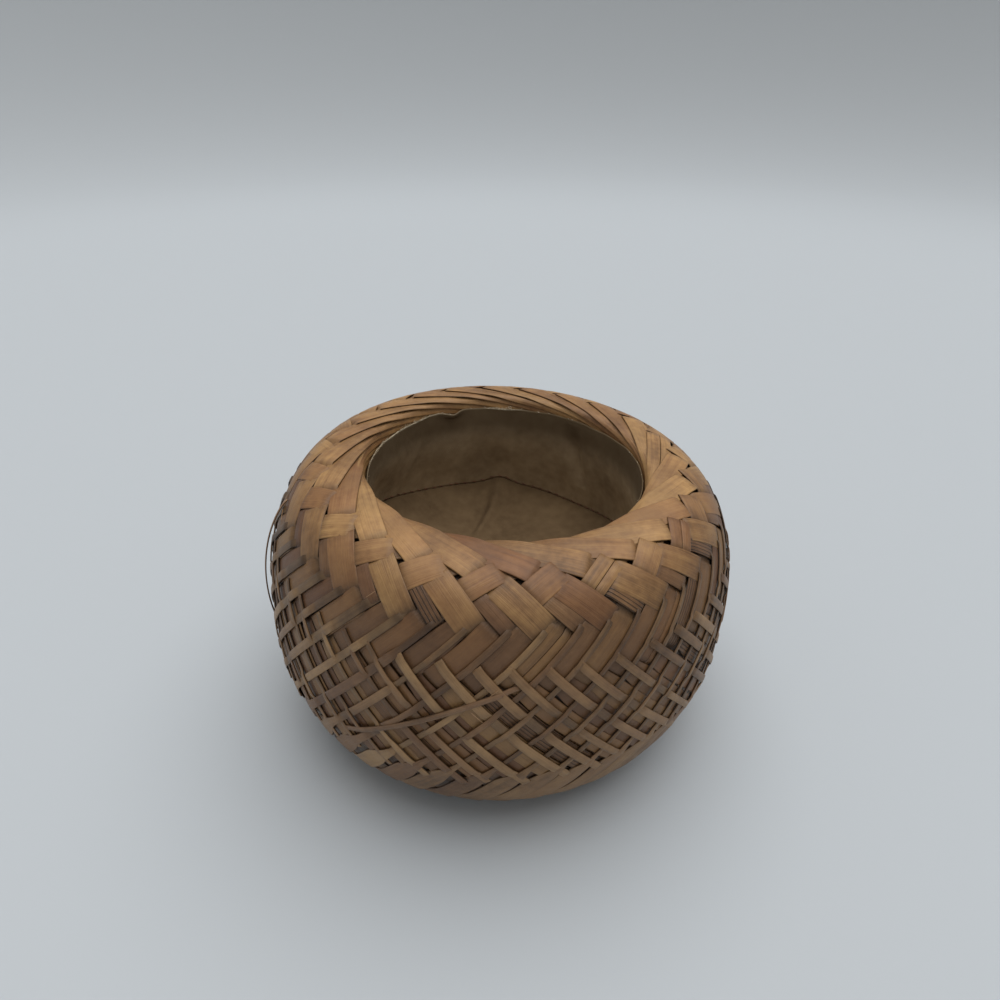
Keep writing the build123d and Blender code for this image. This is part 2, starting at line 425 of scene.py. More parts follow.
def make_piece(name: str, surfaces: list[Surface], finish: bpy.types.Material) -> bpy.types.Object:
    """Puts surfaces into one smooth mesh object that rides on the basket.

    Args:
        name: Name of the piece.
        surfaces: What the piece is made of.
        finish: Its material.

    Returns:
        The object, at the origin with its place in its mesh.
    """
    counts = [len(surface.points) for surface in surfaces]
    starts = np.concatenate([[0], np.cumsum(counts)[:-1]]).astype(int)
    corners, sizes = [], []
    for surface, start in zip(surfaces, starts):
        corners += [surface.quads.ravel() + start, *(cap + start for cap in surface.caps)]
        sizes += [4] * len(surface.quads) + [len(cap) for cap in surface.caps]
    corners = np.concatenate(corners).astype(np.int32)
    mesh = bpy.data.meshes.new(name)
    mesh.vertices.add(sum(counts))
    points = np.concatenate([surface.points for surface in surfaces]) * MILLIMETRE
    mesh.vertices.foreach_set("co", points.astype(np.float32).ravel())
    mesh.loops.add(len(corners))
    mesh.loops.foreach_set("vertex_index", corners)
    mesh.polygons.add(len(sizes))
    mesh.polygons.foreach_set("loop_start", np.concatenate([[0], np.cumsum(sizes)[:-1]]).astype(np.int32))
    mesh.update(calc_edges=True)
    pattern = np.concatenate([surface.corner_pattern() for surface in surfaces])
    mesh.uv_layers.new(name="strip").data.foreach_set("uv", pattern.astype(np.float32).ravel())
    for mark in surfaces[0].marks:
        values = [np.broadcast_to(surface.marks[mark], len(surface.points)) for surface in surfaces]
        values = np.concatenate(values)
        mesh.attributes.new(mark, "FLOAT", "POINT").data.foreach_set("value", values.astype(np.float32))
    mesh.validate()
    mesh.shade_smooth()
    mesh.materials.append(finish)
    piece = add_object(name, mesh)
    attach(piece, "root")
    return piece


def dress(piece: bpy.types.Object, slot: str, *nodes: str) -> None:
    """Hides the CAD nodes that a piece stands for."""
    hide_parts(*nodes)


# Strips


@dataclass(frozen=True)
class Section:
    """Cross-section of a flat split-wood strip, going round it once.

    Attributes:
        across_shares: Places across the strip, from -1 to 1 at its edges.
        through_shares: Heights as shares of half the thickness.
        edge_shade_shares: How much painted shade each place takes, most at the sides and underneath.
        crown: How far the middle of the strip stands over its edges.
    """

    across_shares: tuple[float, ...] = (-1, -0.97, -0.9, 0, 0.9, 0.97, 1, 0.9, 0, -0.9)
    through_shares: tuple[float, ...] = (-0.2, 0.75, 1, 1, 1, 0.75, -0.2, -1, -1, -1)
    edge_shade_shares: tuple[float, ...] = (1, 0.25, 0, 0, 0, 0.25, 1, 1, 1, 1)
    crown: float = 0.07

    def rows(self, thickness: float) -> tuple[np.ndarray, np.ndarray, np.ndarray]:
        """Places across, heights in a strip of this thickness, and painted shade, each as one row.

        Args:
            thickness: Thickness in millimetres.

        Returns:
            Three arrays of one row.
        """
        shares = (self.across_shares, self.through_shares, self.edge_shade_shares)
        across, through, edge = (np.array(share)[None, :] for share in shares)
        return across, through * thickness / 2, edge


@dataclass(frozen=True)
class Grain:
    """What sets one strip's wood apart from the next.

    Attributes:
        tone: Lightness of the wood, from 0 to 1.
        blush: Share of red-brown in it.
        split: How strongly fine splits show, from 0 to 1.
        number: Its place among the strips, so that no two have the same fibres.
    """

    tone: float = 0.5
    blush: float = 0.0
    split: float = 0.0
    number: float = 0.0

    def marks(self, recess: np.ndarray | float = 0.0, edge: np.ndarray | float = 0.0,
              height: np.ndarray | float = 1.0) -> dict[str, np.ndarray | float]:
        """The marks that the wood finish reads.

        Args:
            recess: Share of painted shade from lying deep.
            edge: Share of painted shade from lying at the side of a strip.
            height: Share of the way up the basket.

        Returns:
            Each mark by its name.
        """
        return {"tone": self.tone, "split": self.split, "blush": self.blush, "recess": recess,
                "edge": edge, "height": height}


@dataclass
class Ribbon:
    """A flat strip along a line on the skin.

    Attributes:
        arcs: Distance up the skin at each station.
        azimuth: Azimuth of the middle line at each station, in degrees.
        width: Width at each station.
        lift: Height of the middle over the skin at each station.
        tilt: Rise for each millimetre towards the upper edge at each station.
        thickness: Thickness of the wood.
        offset_share: Place of the middle as a share of half the width.
        recess: Share of painted shade at each station, from lying deep.
        grain: The strip's own wood.
    """

    arcs: np.ndarray
    azimuth: np.ndarray
    width: np.ndarray
    lift: np.ndarray
    tilt: np.ndarray
    thickness: float
    offset_share: float = 0.0
    recess: np.ndarray | float = 0.0
    grain: Grain = Grain()
    section: Section = Section()

    def surface(self, skin: Skin) -> Surface:
        """The closed form of the strip.

        Each station is a section square to the middle line, whose lean is the angle between the line
        and the upright. A place across the strip lies further round by its reach times the cosine of
        the lean, and lower by its reach times the sine. Its height is the lift of the station, less
        the tilt times the reach, plus the crown.

        Args:
            skin: The form that it lies on.

        Returns:
            The strip as one closed surface.
        """
        sideways = np.radians(np.gradient(self.azimuth)) * skin.radius(self.arcs)
        lean = np.arctan2(np.abs(sideways), np.gradient(self.arcs))[:, None]
        side = np.sign(sideways.sum())
        across, through, edge = self.section.rows(self.thickness)
        reach = (across + self.offset_share) * self.width[:, None] / 2
        arc = self.arcs[:, None] - reach * np.sin(lean)
        azimuth = self.azimuth[:, None] + side * np.degrees(reach * np.cos(lean) / skin.radius(arc))
        lift = self.lift[:, None] - self.tilt[:, None] * reach
        lift = lift + through + self.section.crown * (1 - across**2)
        middle = skin.place(self.arcs, self.azimuth, self.lift)
        along = np.concatenate([[0], np.cumsum(np.linalg.norm(np.diff(middle, axis=0), axis=1))])
        beside = reach + PATTERN_STEP * self.grain.number
        pattern = np.stack(np.broadcast_arrays(along[:, None], beside), axis=-1) / 10
        marks = self.grain.marks(np.reshape(self.recess, (-1, 1)), edge, self.arcs[:, None] / skin.crest)
        return swept(skin.place(arc, azimuth, lift), pattern, marks)


Along = Callable[[np.ndarray], np.ndarray]
Placed = Callable[[np.ndarray, np.ndarray], np.ndarray]


@dataclass
class Strip:
    """One flat strip that climbs the skin at its lean.

    Attributes:
        hand: Way in which it turns.
        azimuth: Azimuth of its middle line before it starts turning.
        start: Arc of its lower end.
        end: Arc of its upper end.
        width: Width at each arc and azimuth.
        lift: Height of its middle over the skin at each arc and azimuth.
        thickness: Thickness of the wood.
        tilt: Rise of the strip over each millimetre towards its upper edge, at each arc.
        grain: The strip's own wood.
        wander: Slow wandering of its middle line, in degrees.
        wander_rate: Degrees of the wandering for each degree that it turns.
        phase: Where the wandering starts, in degrees.
        waver_share: Slow change of its width.
        waver_rate: Degrees of that change for each degree that it turns.
        spacing: Distance between its stations.
        offset_share: Place of its middle as a share of half its width.
        shade_reach: Stations over which painted shade spreads from where the strip passes under another.
        top_reach: Stations within which it must have been on top.
        dirt_and_shade: Share of that painted shade which shows at each arc.
    """

    hand: Hand
    azimuth: float
    start: float
    end: float
    width: Placed
    lift: Placed
    thickness: float
    tilt: Along = np.zeros_like
    grain: Grain = Grain()
    wander: float = 0.0
    wander_rate: float = 4.0
    phase: float = 0.0
    waver_share: float = 0.04
    waver_rate: float = 7.0
    spacing: float = 1.6
    offset_share: float = 0.0
    shade_reach: int = 3
    top_reach: int = 14
    dirt_and_shade: Along = np.ones_like

    def surface(self, skin: Skin) -> Surface:
        """The closed form of the strip, which sways about a line turning with the skin's own lean.

        The sway is the wander times sin(phase + rate * turn), and the width changes in the same way by
        its own share and rate.

        Args:
            skin: The form that it lies on.

        Returns:
            The strip as one closed surface.
        """
        arcs = skin.stations(self.start, self.end, self.spacing)
        turn = skin.turn(arcs)
        sway = self.wander * np.sin(np.radians(self.phase + self.wander_rate * turn))
        azimuth = self.azimuth + self.hand.value * (turn + sway)
        waver = 1 + self.waver_share * np.sin(np.radians(2 * self.phase + self.waver_rate * turn))
        lift = self.lift(arcs, azimuth)
        return Ribbon(
            arcs, azimuth, self.width(arcs, azimuth) * waver, lift, self.tilt(arcs), self.thickness,
            self.offset_share, self.recess(lift) * self.dirt_and_shade(arcs), self.grain,
        ).surface(skin)

    def recess(self, lift: np.ndarray) -> np.ndarray:
        """Painted shade where the strip dives: how far its mean height nearby is below its top further off.

        Args:
            lift: Height over the skin at each station.

        Returns:
            Shares of painted shade from 0 to 1.
        """
        kernel = np.ones(2 * self.shade_reach + 1) / (2 * self.shade_reach + 1)
        nearby = np.convolve(np.pad(lift, self.shade_reach, mode="edge"), kernel, "valid")
        padded = np.pad(lift, self.top_reach, mode="edge")
        top = np.lib.stride_tricks.sliding_window_view(padded, 2 * self.top_reach + 1).max(axis=1)
        return np.clip(top - nearby, 0, 1)


@dataclass(frozen=True)
class Floats:
    """Where a strip lies over the strips that it crosses, in crossings counted up from the foot.

    Attributes:
        spans: First and last crossing of each stretch that lies on top.
        blend: Crossings that the strip takes to pass from under to over.
    """

    spans: tuple[tuple[float, float], ...]
    blend: float = 0.2

    def over(self, crossing: np.ndarray) -> np.ndarray:
        """One where the strip is on top and zero where it is under.

        Args:
            crossing: Crossings passed at each place.

        Returns:
            Shares from 0 to 1.
        """
        total = np.zeros_like(crossing)
        for low, high in self.spans:
            total += smooth((crossing - low) / self.blend) - smooth((crossing - high) / self.blend)
        return total


# Materials


class Value:
    """An output in a material, with the usual operators adding Math nodes."""

    def __init__(self, graph: "Graph", socket: bpy.types.NodeSocket) -> None:
        """Keeps the graph and the output socket."""
        self.graph = graph
        self.socket = socket

    def _maths(self, operation: str, first: object, second: object) -> "Value":
        """A Math node on two values."""
        return self.graph.node("ShaderNodeMath", {"operation": operation}, {0: first, 1: second})

    def __add__(self, other: object) -> "Value":
        """Self plus other."""
        return self._maths("ADD", self, other)

    def __radd__(self, other: object) -> "Value":
        """Other plus self."""
        return self._maths("ADD", other, self)

    def __sub__(self, other: object) -> "Value":
        """Self less other."""
        return self._maths("SUBTRACT", self, other)

    def __rsub__(self, other: object) -> "Value":
        """Other less self."""
        return self._maths("SUBTRACT", other, self)

    def __mul__(self, other: object) -> "Value":
        """Self times other."""
        return self._maths("MULTIPLY", self, other)

    def __rmul__(self, other: object) -> "Value":
        """Other times self."""
        return self._maths("MULTIPLY", other, self)


@dataclass(frozen=True)
class Layer:
    """One noise of a finish.

    Attributes:
        scales: Waves a centimetre along and across a strip, or waves a metre over the basket.
        detail: Finer noises that are added to it.
        weight: Weight of its distance from a half in the level of the finish.
        relief: Height in the bump of the finish.
    """

    scales: tuple[float, ...]
    detail: float = 2.0
    weight: float = 1.0
    relief: float = 0.0


@dataclass(frozen=True)
class Sheen:
    """How a finish takes the light.

    Attributes:
        roughness: Roughness of the surface.
        gloss: Strength of its reflections.
        bump_distance: Height of its bump in millimetres.
        bump_strength: Strength of its bump.
    """

    roughness: float
    gloss: float = 0.5
    bump_distance: float = 0.0
    bump_strength: float = 0.0


class Graph:
    """The node tree of one material."""

    def __init__(self, name: str) -> None:
        """Makes an empty material with its shader and output.

        Args:
            name: Name of the material.
        """
        self.material = bpy.data.materials.new(name)
        self.material.use_nodes = True
        self.tree = self.material.node_tree
        self.tree.nodes.clear()
        self.shader = self.tree.nodes.new("ShaderNodeBsdfPrincipled")
        output = self.tree.nodes.new("ShaderNodeOutputMaterial")
        self.tree.links.new(self.shader.outputs[0], output.inputs[0])

    def node(self, kind: str, settings: dict | None = None, inputs: dict | None = None,
             output: int | str = 0) -> Value:
        """Adds a node.

        Args:
            kind: Type of the node.
            settings: Its properties, set first. Stops are pairs of place and colour for a ramp.
            inputs: Values or links of its sockets, by name or number.
            output: Socket that is wanted.

        Returns:
            The wanted output.
        """
        made = self.tree.nodes.new(kind)
        for name, value in (settings or {}).items():
            if name == "stops":
                self._set_stops(made.color_ramp, value)
            else:
                setattr(made, name, value)
        for name, value in (inputs or {}).items():
            self.link(made, name, value)
        return Value(self, made.outputs[output])

    def link(self, made: bpy.types.Node, name: int | str, value: object) -> None:
        """Gives a socket its value, or links an output to it.

        Args:
            made: Node that has the socket.
            name: Name or number of the socket.
            value: A value for it, or the output to link to it.
        """
        named = [socket for socket in made.inputs if socket.enabled and socket.name == name]
        socket = named[0] if named else made.inputs[name]
        if isinstance(value, Value):
            self.tree.links.new(value.socket, socket)
        else:
            socket.default_value = value

    @staticmethod
    def _set_stops(ramp: bpy.types.ColorRamp, stops: list[tuple[float, Rgb]]) -> None:
        """Gives a ramp its stops."""
        while len(ramp.elements) < len(stops):
            ramp.elements.new(0.5)
        for element, (place, colour) in zip(ramp.elements, stops):
            element.position = place
            element.color = linear(colour)

    def mark(self, name: str) -> Value:
        """A named number of the mesh."""
        return self.node("ShaderNodeAttribute", {"attribute_name": name}, output="Fac")

    def strip_place(self) -> tuple[Value, Value]:
        """Centimetres along and across a strip."""
        place = self.node("ShaderNodeUVMap", {"uv_map": "strip"})
        return tuple(self.node("ShaderNodeSeparateXYZ", inputs={0: place}, output=axis) for axis in (0, 1))

    def body_place(self) -> Value:
        """Place on the basket in metres."""
        return self.node("ShaderNodeTexCoord", output="Object")

    def noise(self, layer: Layer) -> Value:
        """The noise of a layer, from 0 to 1: along the strip if it has two scales, else over the basket.

        Args:
            layer: What the noise is like.

        Returns:
            The noise.
        """
        if len(layer.scales) == 2:
            along, across = self.strip_place()
            inputs = {0: along * layer.scales[0], 1: across * layer.scales[1]}
            place, scale = self.node("ShaderNodeCombineXYZ", inputs=inputs), 1.0
        else:
            place, scale = self.body_place(), layer.scales[0]
        inputs = {"Vector": place, "Scale": scale, "Detail": layer.detail}
        return self.node("ShaderNodeTexNoise", inputs=inputs)

    def between(self, start: float, end: float, value: Value) -> Value:
        """A share that goes smoothly from zero to one between two values, rising or falling.

        Args:
            start: Value up to which it is zero.
            end: Value from which it is one.
            value: The value that it depends on.

        Returns:
            The share.
        """
        settings = {"interpolation_type": "SMOOTHSTEP"}
        inputs = {"Value": value, "From Min": start, "From Max": end}
        return self.node("ShaderNodeMapRange", settings, inputs)

    def limited(self, value: Value) -> Value:
        """The value kept from 0 to 1."""
        return self.node("ShaderNodeClamp", inputs={"Value": value})

    def ramp(self, level: Value, stops: list[tuple[float, Rgb]]) -> Value:
        """Colours that change with a level."""
        return self.node("ShaderNodeValToRGB", {"stops": stops}, {0: level})

    def mix(self, share: object, first: object, second: object) -> Value:
        """Mixes two colours by a share."""
        return self.node("ShaderNodeMix", {"data_type": "RGBA"}, {0: share, 6: first, 7: second}, output=2)

    def finished(self, colour: Value, sheen: Sheen, relief: Value | None = None,
                 swing: object = 0.0) -> bpy.types.Material:
        """Gives the shader its colour, its sheen and its bump.

        Args:
            colour: Colour of the surface.
            sheen: How it takes the light.
            relief: Height of the bump as a share of its distance, or none for a smooth surface.
            swing: What is added to the roughness.

        Returns:
            The material.
        """
        self.link(self.shader, "Base Color", colour)
        self.link(self.shader, "Roughness", swing + sheen.roughness)
        self.link(self.shader, "Specular IOR Level", sheen.gloss)
        if relief is not None:
            distance = sheen.bump_distance * MILLIMETRE
            inputs = {"Height": relief, "Distance": distance, "Strength": sheen.bump_strength}
            self.link(self.shader, "Normal", self.node("ShaderNodeBump", inputs=inputs))
        return self.material


@dataclass(frozen=True)
class WoodFinish:
    """Split wood with fine fibres, streaks and stains.

    A ramp from dark through middle to light takes a level: the base, plus the weighted distances from
    a half of a strip's own tone and of each layer. Red-brown, then dirt and painted shade, go over the
    ramp's colour.
    Heights are shares of the way up the basket.

    Attributes:
        name: Name of the material.
        dark: Colour of the darkest strips.
        middle: Colour between.
        light: Colour of the palest strips.
        blush: Red-brown that stains the wood here and there.
        soil_and_shade: Colour of the dirt in the splits, and of the painted shade in the gaps and round the
            foot.
        low_shade: Share of painted shade over the lower wall, which grows darker towards the bottom.
        low_shade_heights: Where that painted shade starts and where it is full.
        calm: Share of the contrast that the lower wall loses.
        calm_heights: Where the contrast starts to fall and where it is least.
        base: Level of a plain strip.
        stops: Levels of the three colours.
        tone_weight: Weight of a strip's own tone.
        fibre: Fine fibres.
        streak: Long streaks.
        stain: Stains the size of a thumb.
        blot: Wide soft stains.
        speck: Specks.
        blush_share: Share of red-brown in a strip with full blush.
        red_share: Share of red-brown in the wide stains.
        red_levels: Levels of blot and streak between which it comes in.
        red_blot_share: Share of the blot in those levels.
        groove_pitch: Half the distance between fine splits, in centimetres.
        groove_edges: Distances from a split's middle at which it starts and is deepest.
        groove_wobble: How far the fibres push a split aside.
        groove_depth: Depth of the splits in the bump.
        groove_dirt: Dirt in the splits.
        recess_shade: Painted shade where a strip lies deep.
        edge_shade: Painted shade at the sides of a strip.
        sheen: How the wood takes the light.
        roughness_swing: How far the fibres change its roughness.
    """

    name: str
    dark: Rgb = (92, 64, 38)
    middle: Rgb = (150, 111, 70)
    light: Rgb = (192, 150, 96)
    blush: Rgb = (132, 84, 52)
    soil_and_shade: Rgb = (50, 35, 22)
    low_shade: float = 0.34
    low_shade_heights: tuple[float, float] = (0.96, 0.76)
    calm: float = 0.0
    calm_heights: tuple[float, float] = (0.82, 0.72)
    base: float = 0.54
    stops: tuple[float, float, float] = (0.0, 0.45, 0.95)
    tone_weight: float = 0.6
    fibre: Layer = Layer((0.6, 30.0), 3.0, 0.6, 0.7)
    streak: Layer = Layer((0.22, 6.0), 2.0, 0.75, 0.4)
    stain: Layer = Layer((70.0,), 3.0, 0.85)
    blot: Layer = Layer((22.0,), 2.0, 0.6)
    speck: Layer = Layer((420.0,), 2.0, 0.5, 0.25)
    blush_share: float = 0.5
    red_share: float = 0.25
    red_levels: tuple[float, float] = (0.48, 0.7)
    red_blot_share: float = 0.6
    groove_pitch: float = 0.06
    groove_edges: tuple[float, float] = (0.022, 0.008)
    groove_wobble: float = 0.02
    groove_depth: float = 1.2
    groove_dirt: float = 0.55
    recess_shade: float = 0.6
    edge_shade: float = 0.55
    sheen: Sheen = Sheen(0.48, 0.4, 0.3, 0.7)
    roughness_swing: float = 0.3

    def material(self) -> bpy.types.Material:
        """Builds the material from fibres along the strip and stains over the basket.

        Returns:
            The material.
        """
        graph = Graph(self.name)
        layers = (self.fibre, self.streak, self.speck, self.blot, self.stain)
        noises = [graph.noise(layer) for layer in layers]
        fibre, streak, speck, blot, _ = noises
        height = graph.mark("height")
        level = (graph.mark("tone") - 0.5) * self.tone_weight
        for noise, layer in zip(noises, layers):
            level = level + (noise - 0.5) * layer.weight
        quiet = 1 - graph.between(*self.calm_heights, height) * self.calm
        colours = zip(self.stops, (self.dark, self.middle, self.light))
        wood = graph.ramp(level * quiet + self.base, list(colours))
        reddened = blot * self.red_blot_share + streak * (1 - self.red_blot_share)
        red = graph.between(*self.red_levels, reddened) * self.red_share
        wood = graph.mix(graph.mark("blush") * self.blush_share + red, wood, linear(self.blush))
        groove = self.groove(graph, fibre)
        # Dirt in the splits, with painted shade where a strip lies deep, at its sides and low on the wall.
        dirt_and_shade = groove * self.groove_dirt + graph.mark("recess") * self.recess_shade
        dirt_and_shade = dirt_and_shade + graph.mark("edge") * self.edge_shade
        dirt_and_shade = dirt_and_shade + graph.between(*self.low_shade_heights, height) * self.low_shade
        colour = graph.mix(graph.limited(dirt_and_shade), wood, linear(self.soil_and_shade))
        relief = fibre * self.fibre.relief + streak * self.streak.relief + speck * self.speck.relief
        swing = (fibre - 0.5) * self.roughness_swing
        return graph.finished(colour, self.sheen, relief - groove * self.groove_depth, swing)

    def groove(self, graph: Graph, fibre: Value) -> Value:
        """One in the fine splits of a split strip: a folded line across it, pushed aside by the fibres.

        Args:
            graph: The material's graph.
            fibre: The noise of the fibres.

        Returns:
            Shares from 0 to 1.
        """
        _, across = graph.strip_place()
        inputs = {0: across + fibre * self.groove_wobble, 1: self.groove_pitch}
        comb = graph.node("ShaderNodeMath", {"operation": "PINGPONG"}, inputs)
        return graph.between(*self.groove_edges, comb) * graph.mark("split")


@dataclass(frozen=True)
class ClothFinish:
    """Plain woven lining cloth, a little stained.

    Attributes:
        name: Name of the material.
        light: Colour of the cleanest cloth.
        dark: Colour of the stains.
        pale: Colour of the frayed raw edge.
        mouth_shade: Colour close under the mouth, painted shade of the rim over the cloth.
        thread: Distance between threads in millimetres.
        base: Level of plain cloth.
        stops: Levels of the dark and the light colour.
        stain: Wide soft stains.
        slub: Uneven threads.
        weave_weight: Weight of the threads in the level.
        sheen: How the cloth takes the light.
    """

    name: str
    light: Rgb = (150, 128, 98)
    dark: Rgb = (92, 76, 55)
    pale: Rgb = (200, 188, 162)
    mouth_shade: Rgb = (84, 68, 48)
    thread: float = 0.7
    base: float = 0.45
    stops: tuple[float, float] = (0.1, 0.85)
    stain: Layer = Layer((30.0,), 4.0, 1.3)
    slub: Layer = Layer((260.0,), 2.0, 0.5, 0.8)
    weave_weight: float = 0.14
    sheen: Sheen = Sheen(0.9, 0.15, 0.2, 0.6)

    def material(self) -> bpy.types.Material:
        """Builds the material from two sets of threads and soft stains.

        Returns:
            The material.
        """
        graph = Graph(self.name)
        turns = 2 * np.pi * 10 / self.thread
        sine = {"operation": "SINE"}
        warp, weft = (graph.node("ShaderNodeMath", sine, {0: place * turns}) for place in graph.strip_place())
        weave = warp * weft * 0.5 + 0.5
        stain, slub = graph.noise(self.stain), graph.noise(self.slub)
        level = (stain - 0.5) * self.stain.weight + (slub - 0.5) * self.slub.weight
        level = level + weave * self.weave_weight + self.base
        cloth = graph.ramp(level, list(zip(self.stops, (self.dark, self.light))))
        # Painted shade close under the mouth, where the shade mark rises.
        cloth = graph.mix(graph.mark("shade"), cloth, linear(self.mouth_shade))
        cloth = graph.mix(graph.mark("fray"), cloth, linear(self.pale))
        return graph.finished(cloth, self.sheen, weave + slub * self.slub.relief)


@dataclass(frozen=True)
class ThreadFinish:
    """Loose twisted thread.

    Attributes:
        name: Name of the material.
        light: Colour of the thread.
        dark: Colour of its darker lengths.
        twist: Its twist.
        levels: Levels of the twist between which its colour changes.
        sheen: How it takes the light.
    """

    name: str
    light: Rgb
    dark: Rgb
    twist: Layer = Layer((900.0,))
    levels: tuple[float, float] = (0.35, 0.65)
    sheen: Sheen = Sheen(0.85, 0.5, 0.1, 0.5)

    def material(self) -> bpy.types.Material:
        """Builds the material from one fine noise.

        Returns:
            The material.
        """
        graph = Graph(self.name)
        twist = graph.noise(self.twist)
        colour = graph.mix(graph.between(*self.levels, twist), linear(self.dark), linear(self.light))
        return graph.finished(colour, self.sheen, twist)


@dataclass(frozen=True)
class StageFinish:
    """Smooth pale paper of the studio.

    Attributes:
        name: Name of the material.
        near: Colour of the floor.
        far: Colour of the wall, darker than the floor: painted shade of the paper.
        turn: Distances from the middle between which the colour changes, in metres.
        sheen: How it takes the light.
    """

    name: str
    near: Rgb = (189, 195, 200)
    far: Rgb = (174, 179, 183)
    turn: tuple[float, float] = (0.95, 2.0)
    sheen: Sheen = Sheen(0.85, 0.2)

    def material(self) -> bpy.types.Material:
        """Builds the material, whose colour darkens softly from the floor to the wall as painted shade.

        Returns:
            The material.
        """
        graph = Graph(self.name)
        settings, inputs = {"operation": "LENGTH"}, {0: graph.body_place()}
        distance = graph.node("ShaderNodeVectorMath", settings, inputs, output="Value")
        colour = graph.mix(graph.between(*self.turn, distance), linear(self.near), linear(self.far))
        return graph.finished(colour, self.sheen)


# Sub-assemblies


@dataclass(frozen=True)
class Widths:
    """Widths of a strip on the three stretches of the wall.

    Attributes:
        shoulder: Width above the plain rows.
        rows: Width in the plain rows.
        low: Width behind the lattice.
        room_share: Most that the width below the shoulder may take of the room for one strip.
    """

    shoulder: float
    rows: float
    low: float
    room_share: float = 1.02


@dataclass(frozen=True)
class Family:
    """What the strips of one hand and kind on the wall have in common.

    Attributes:
        floats: Where they lie on top.
        widths: Their widths.
        top: Crossing at which they end, or none where they sweep over the mouth.
    """

    floats: Floats
    widths: Widths
    top: float | None = None


@dataclass
class Wall:
    """The wide splints of the wall and the companions between them, in both hands.

    Crossings are counted up from the foot. One comes at every quarter of the azimuth between wide
    splints, because the other hand turns too and has companions between its splints. Lifts are
    heights over the skin. Spreads are how far strips differ at random, as the least and the greatest.
    """

    skin: Skin
    rng: np.random.Generator
    count: int = 24
    first_azimuth: float = 10.5
    thickness: float = 0.5
    over_lift: float = -0.3
    under_lift: float = -1.3
    foot_lift: float = -1.25
    foot_under_lift: float = -1.75
    companion_drop: float = 0.16
    foot_arc: float = 52.0
    start_arc: float = 26.0
    rows_arc: float = 106.0
    low_arc: float = 88.0
    change_run: float = 6.0
    sweep_start: float = 25.5
    sweep_run: float = 3.0
    right: Family = Family(Floats(((24.87, 99), (20.5, 23.4), (-99, 17.5))), Widths(9.6, 7.8, 8.8))
    left: Family = Family(Floats(((22.6, 24.87), (17.5, 20.5))), Widths(8.8, 8.8, 8.6), 26.3)
    right_companions: Family = Family(Floats(((20.5, 22.4), (-99, 17.5))), Widths(5.2, 7.2, 8.7), 23.2)
    left_companions: Family = Family(Floats(((17.5, 20.5),)), Widths(7.0, 8.8, 8.6), 22.2)
    azimuth_spread: tuple[float, float] = (-0.5, 0.5)
    start_spread: tuple[float, float] = (0.0, 3.0)
    width_spread: tuple[float, float] = (0.93, 1.04)
    tone_spread: tuple[float, float] = (0.3, 0.9)
    companion_width_spread: tuple[float, float] = (0.94, 1.03)
    companion_tone_spread: tuple[float, float] = (0.1, 0.9)
    split_share: float = 0.22
    split_spread: tuple[float, float] = (0.4, 0.6)
    split_width_share: float = 0.98
    split_tone: float = 0.08
    split_number: float = 0.4
    comb_share: float = 0.3
    wander: float = 0.35
    spacing: float = 1.0
    finish: WoodFinish = WoodFinish("splint_wood", low_shade=0.42, calm=0.45)
    companion_finish: WoodFinish = WoodFinish(
        "companion_wood", (72, 49, 31), (120, 86, 56), (152, 114, 76), (108, 68, 46), low_shade=0.3, calm=0.4)

    def __post_init__(self) -> None:
        """Works out the turn from one crossing to the next."""
        self.crossing_turn = 360 / self.count / 4

    def crossing(self, arc: np.ndarray) -> np.ndarray:
        """Crossings passed by this arc."""
        return self.skin.turn(arc) / self.crossing_turn

    def crossing_arc(self, crossing: float) -> float:
        """Arc of a crossing."""
        return self.skin.arc_at_turn(crossing * self.crossing_turn)

    def pitch(self, arc: np.ndarray) -> np.ndarray:
        """Distance between neighbouring wide splints, square to them."""
        return 2 * np.pi * self.skin.radius(arc) / self.count * np.cos(self.skin.lean(arc))

    def tilt(self, arc: np.ndarray) -> np.ndarray:
        """Tilt with which the sweep's splints lie over each other: thickness over pitch."""
        sweep = smooth((self.crossing(arc) - self.sweep_start) / self.sweep_run - 0.5)
        return sweep * self.thickness / self.pitch(arc)

    def lifted(self, family: Family, hand: Hand, drop: float = 0.0) -> Placed:
        """Height of a strip over the skin, from its floats.

        Args:
            family: The strips that it belongs to. Those of the sweep sink by half their rise.
            hand: Way in which it turns, which sets its layer at the foot.
            drop: How far it lies below the wide splints beside it.

        Returns:
            The height at an arc and an azimuth.
        """
        layer = self.foot_lift if hand is Hand.RIGHT else self.foot_under_lift
        sunk_width = family.widths.shoulder if family.top is None else 0.0

        def lift(arc: np.ndarray, azimuth: np.ndarray) -> np.ndarray:
            """Mixes the over and under heights, and goes into the layer of the foot below.

            Args:
                arc: Distances up the skin.
                azimuth: Azimuths in degrees.

            Returns:
                Heights over the skin.
            """
            woven = mixed(self.under_lift, self.over_lift, family.floats.over(self.crossing(arc)))
            foot = smooth((self.foot_arc - arc) / self.change_run)
            return mixed(woven, layer, foot) - self.tilt(arc) * sunk_width / 2 - drop

        return lift

    def width(self, widths: Widths, share: float) -> Placed:
        """Width of a strip at each arc, as a share of the widths of its kind."""

        def width(arc: np.ndarray, azimuth: np.ndarray) -> np.ndarray:
            """Mixes the widths, and below the shoulder keeps to the room for one strip.

            Args:
                arc: Distances up the skin.
                azimuth: Azimuths in degrees.

            Returns:
                Widths in millimetres.
            """
            shoulder = smooth((arc - self.rows_arc) / self.change_run)
            rows = smooth((arc - self.low_arc) / self.change_run)
            room = widths.room_share * self.pitch(arc) / 2
            below = np.minimum(mixed(widths.low, widths.rows, rows), room)
            return share * mixed(below, widths.shoulder, shoulder)

        return width

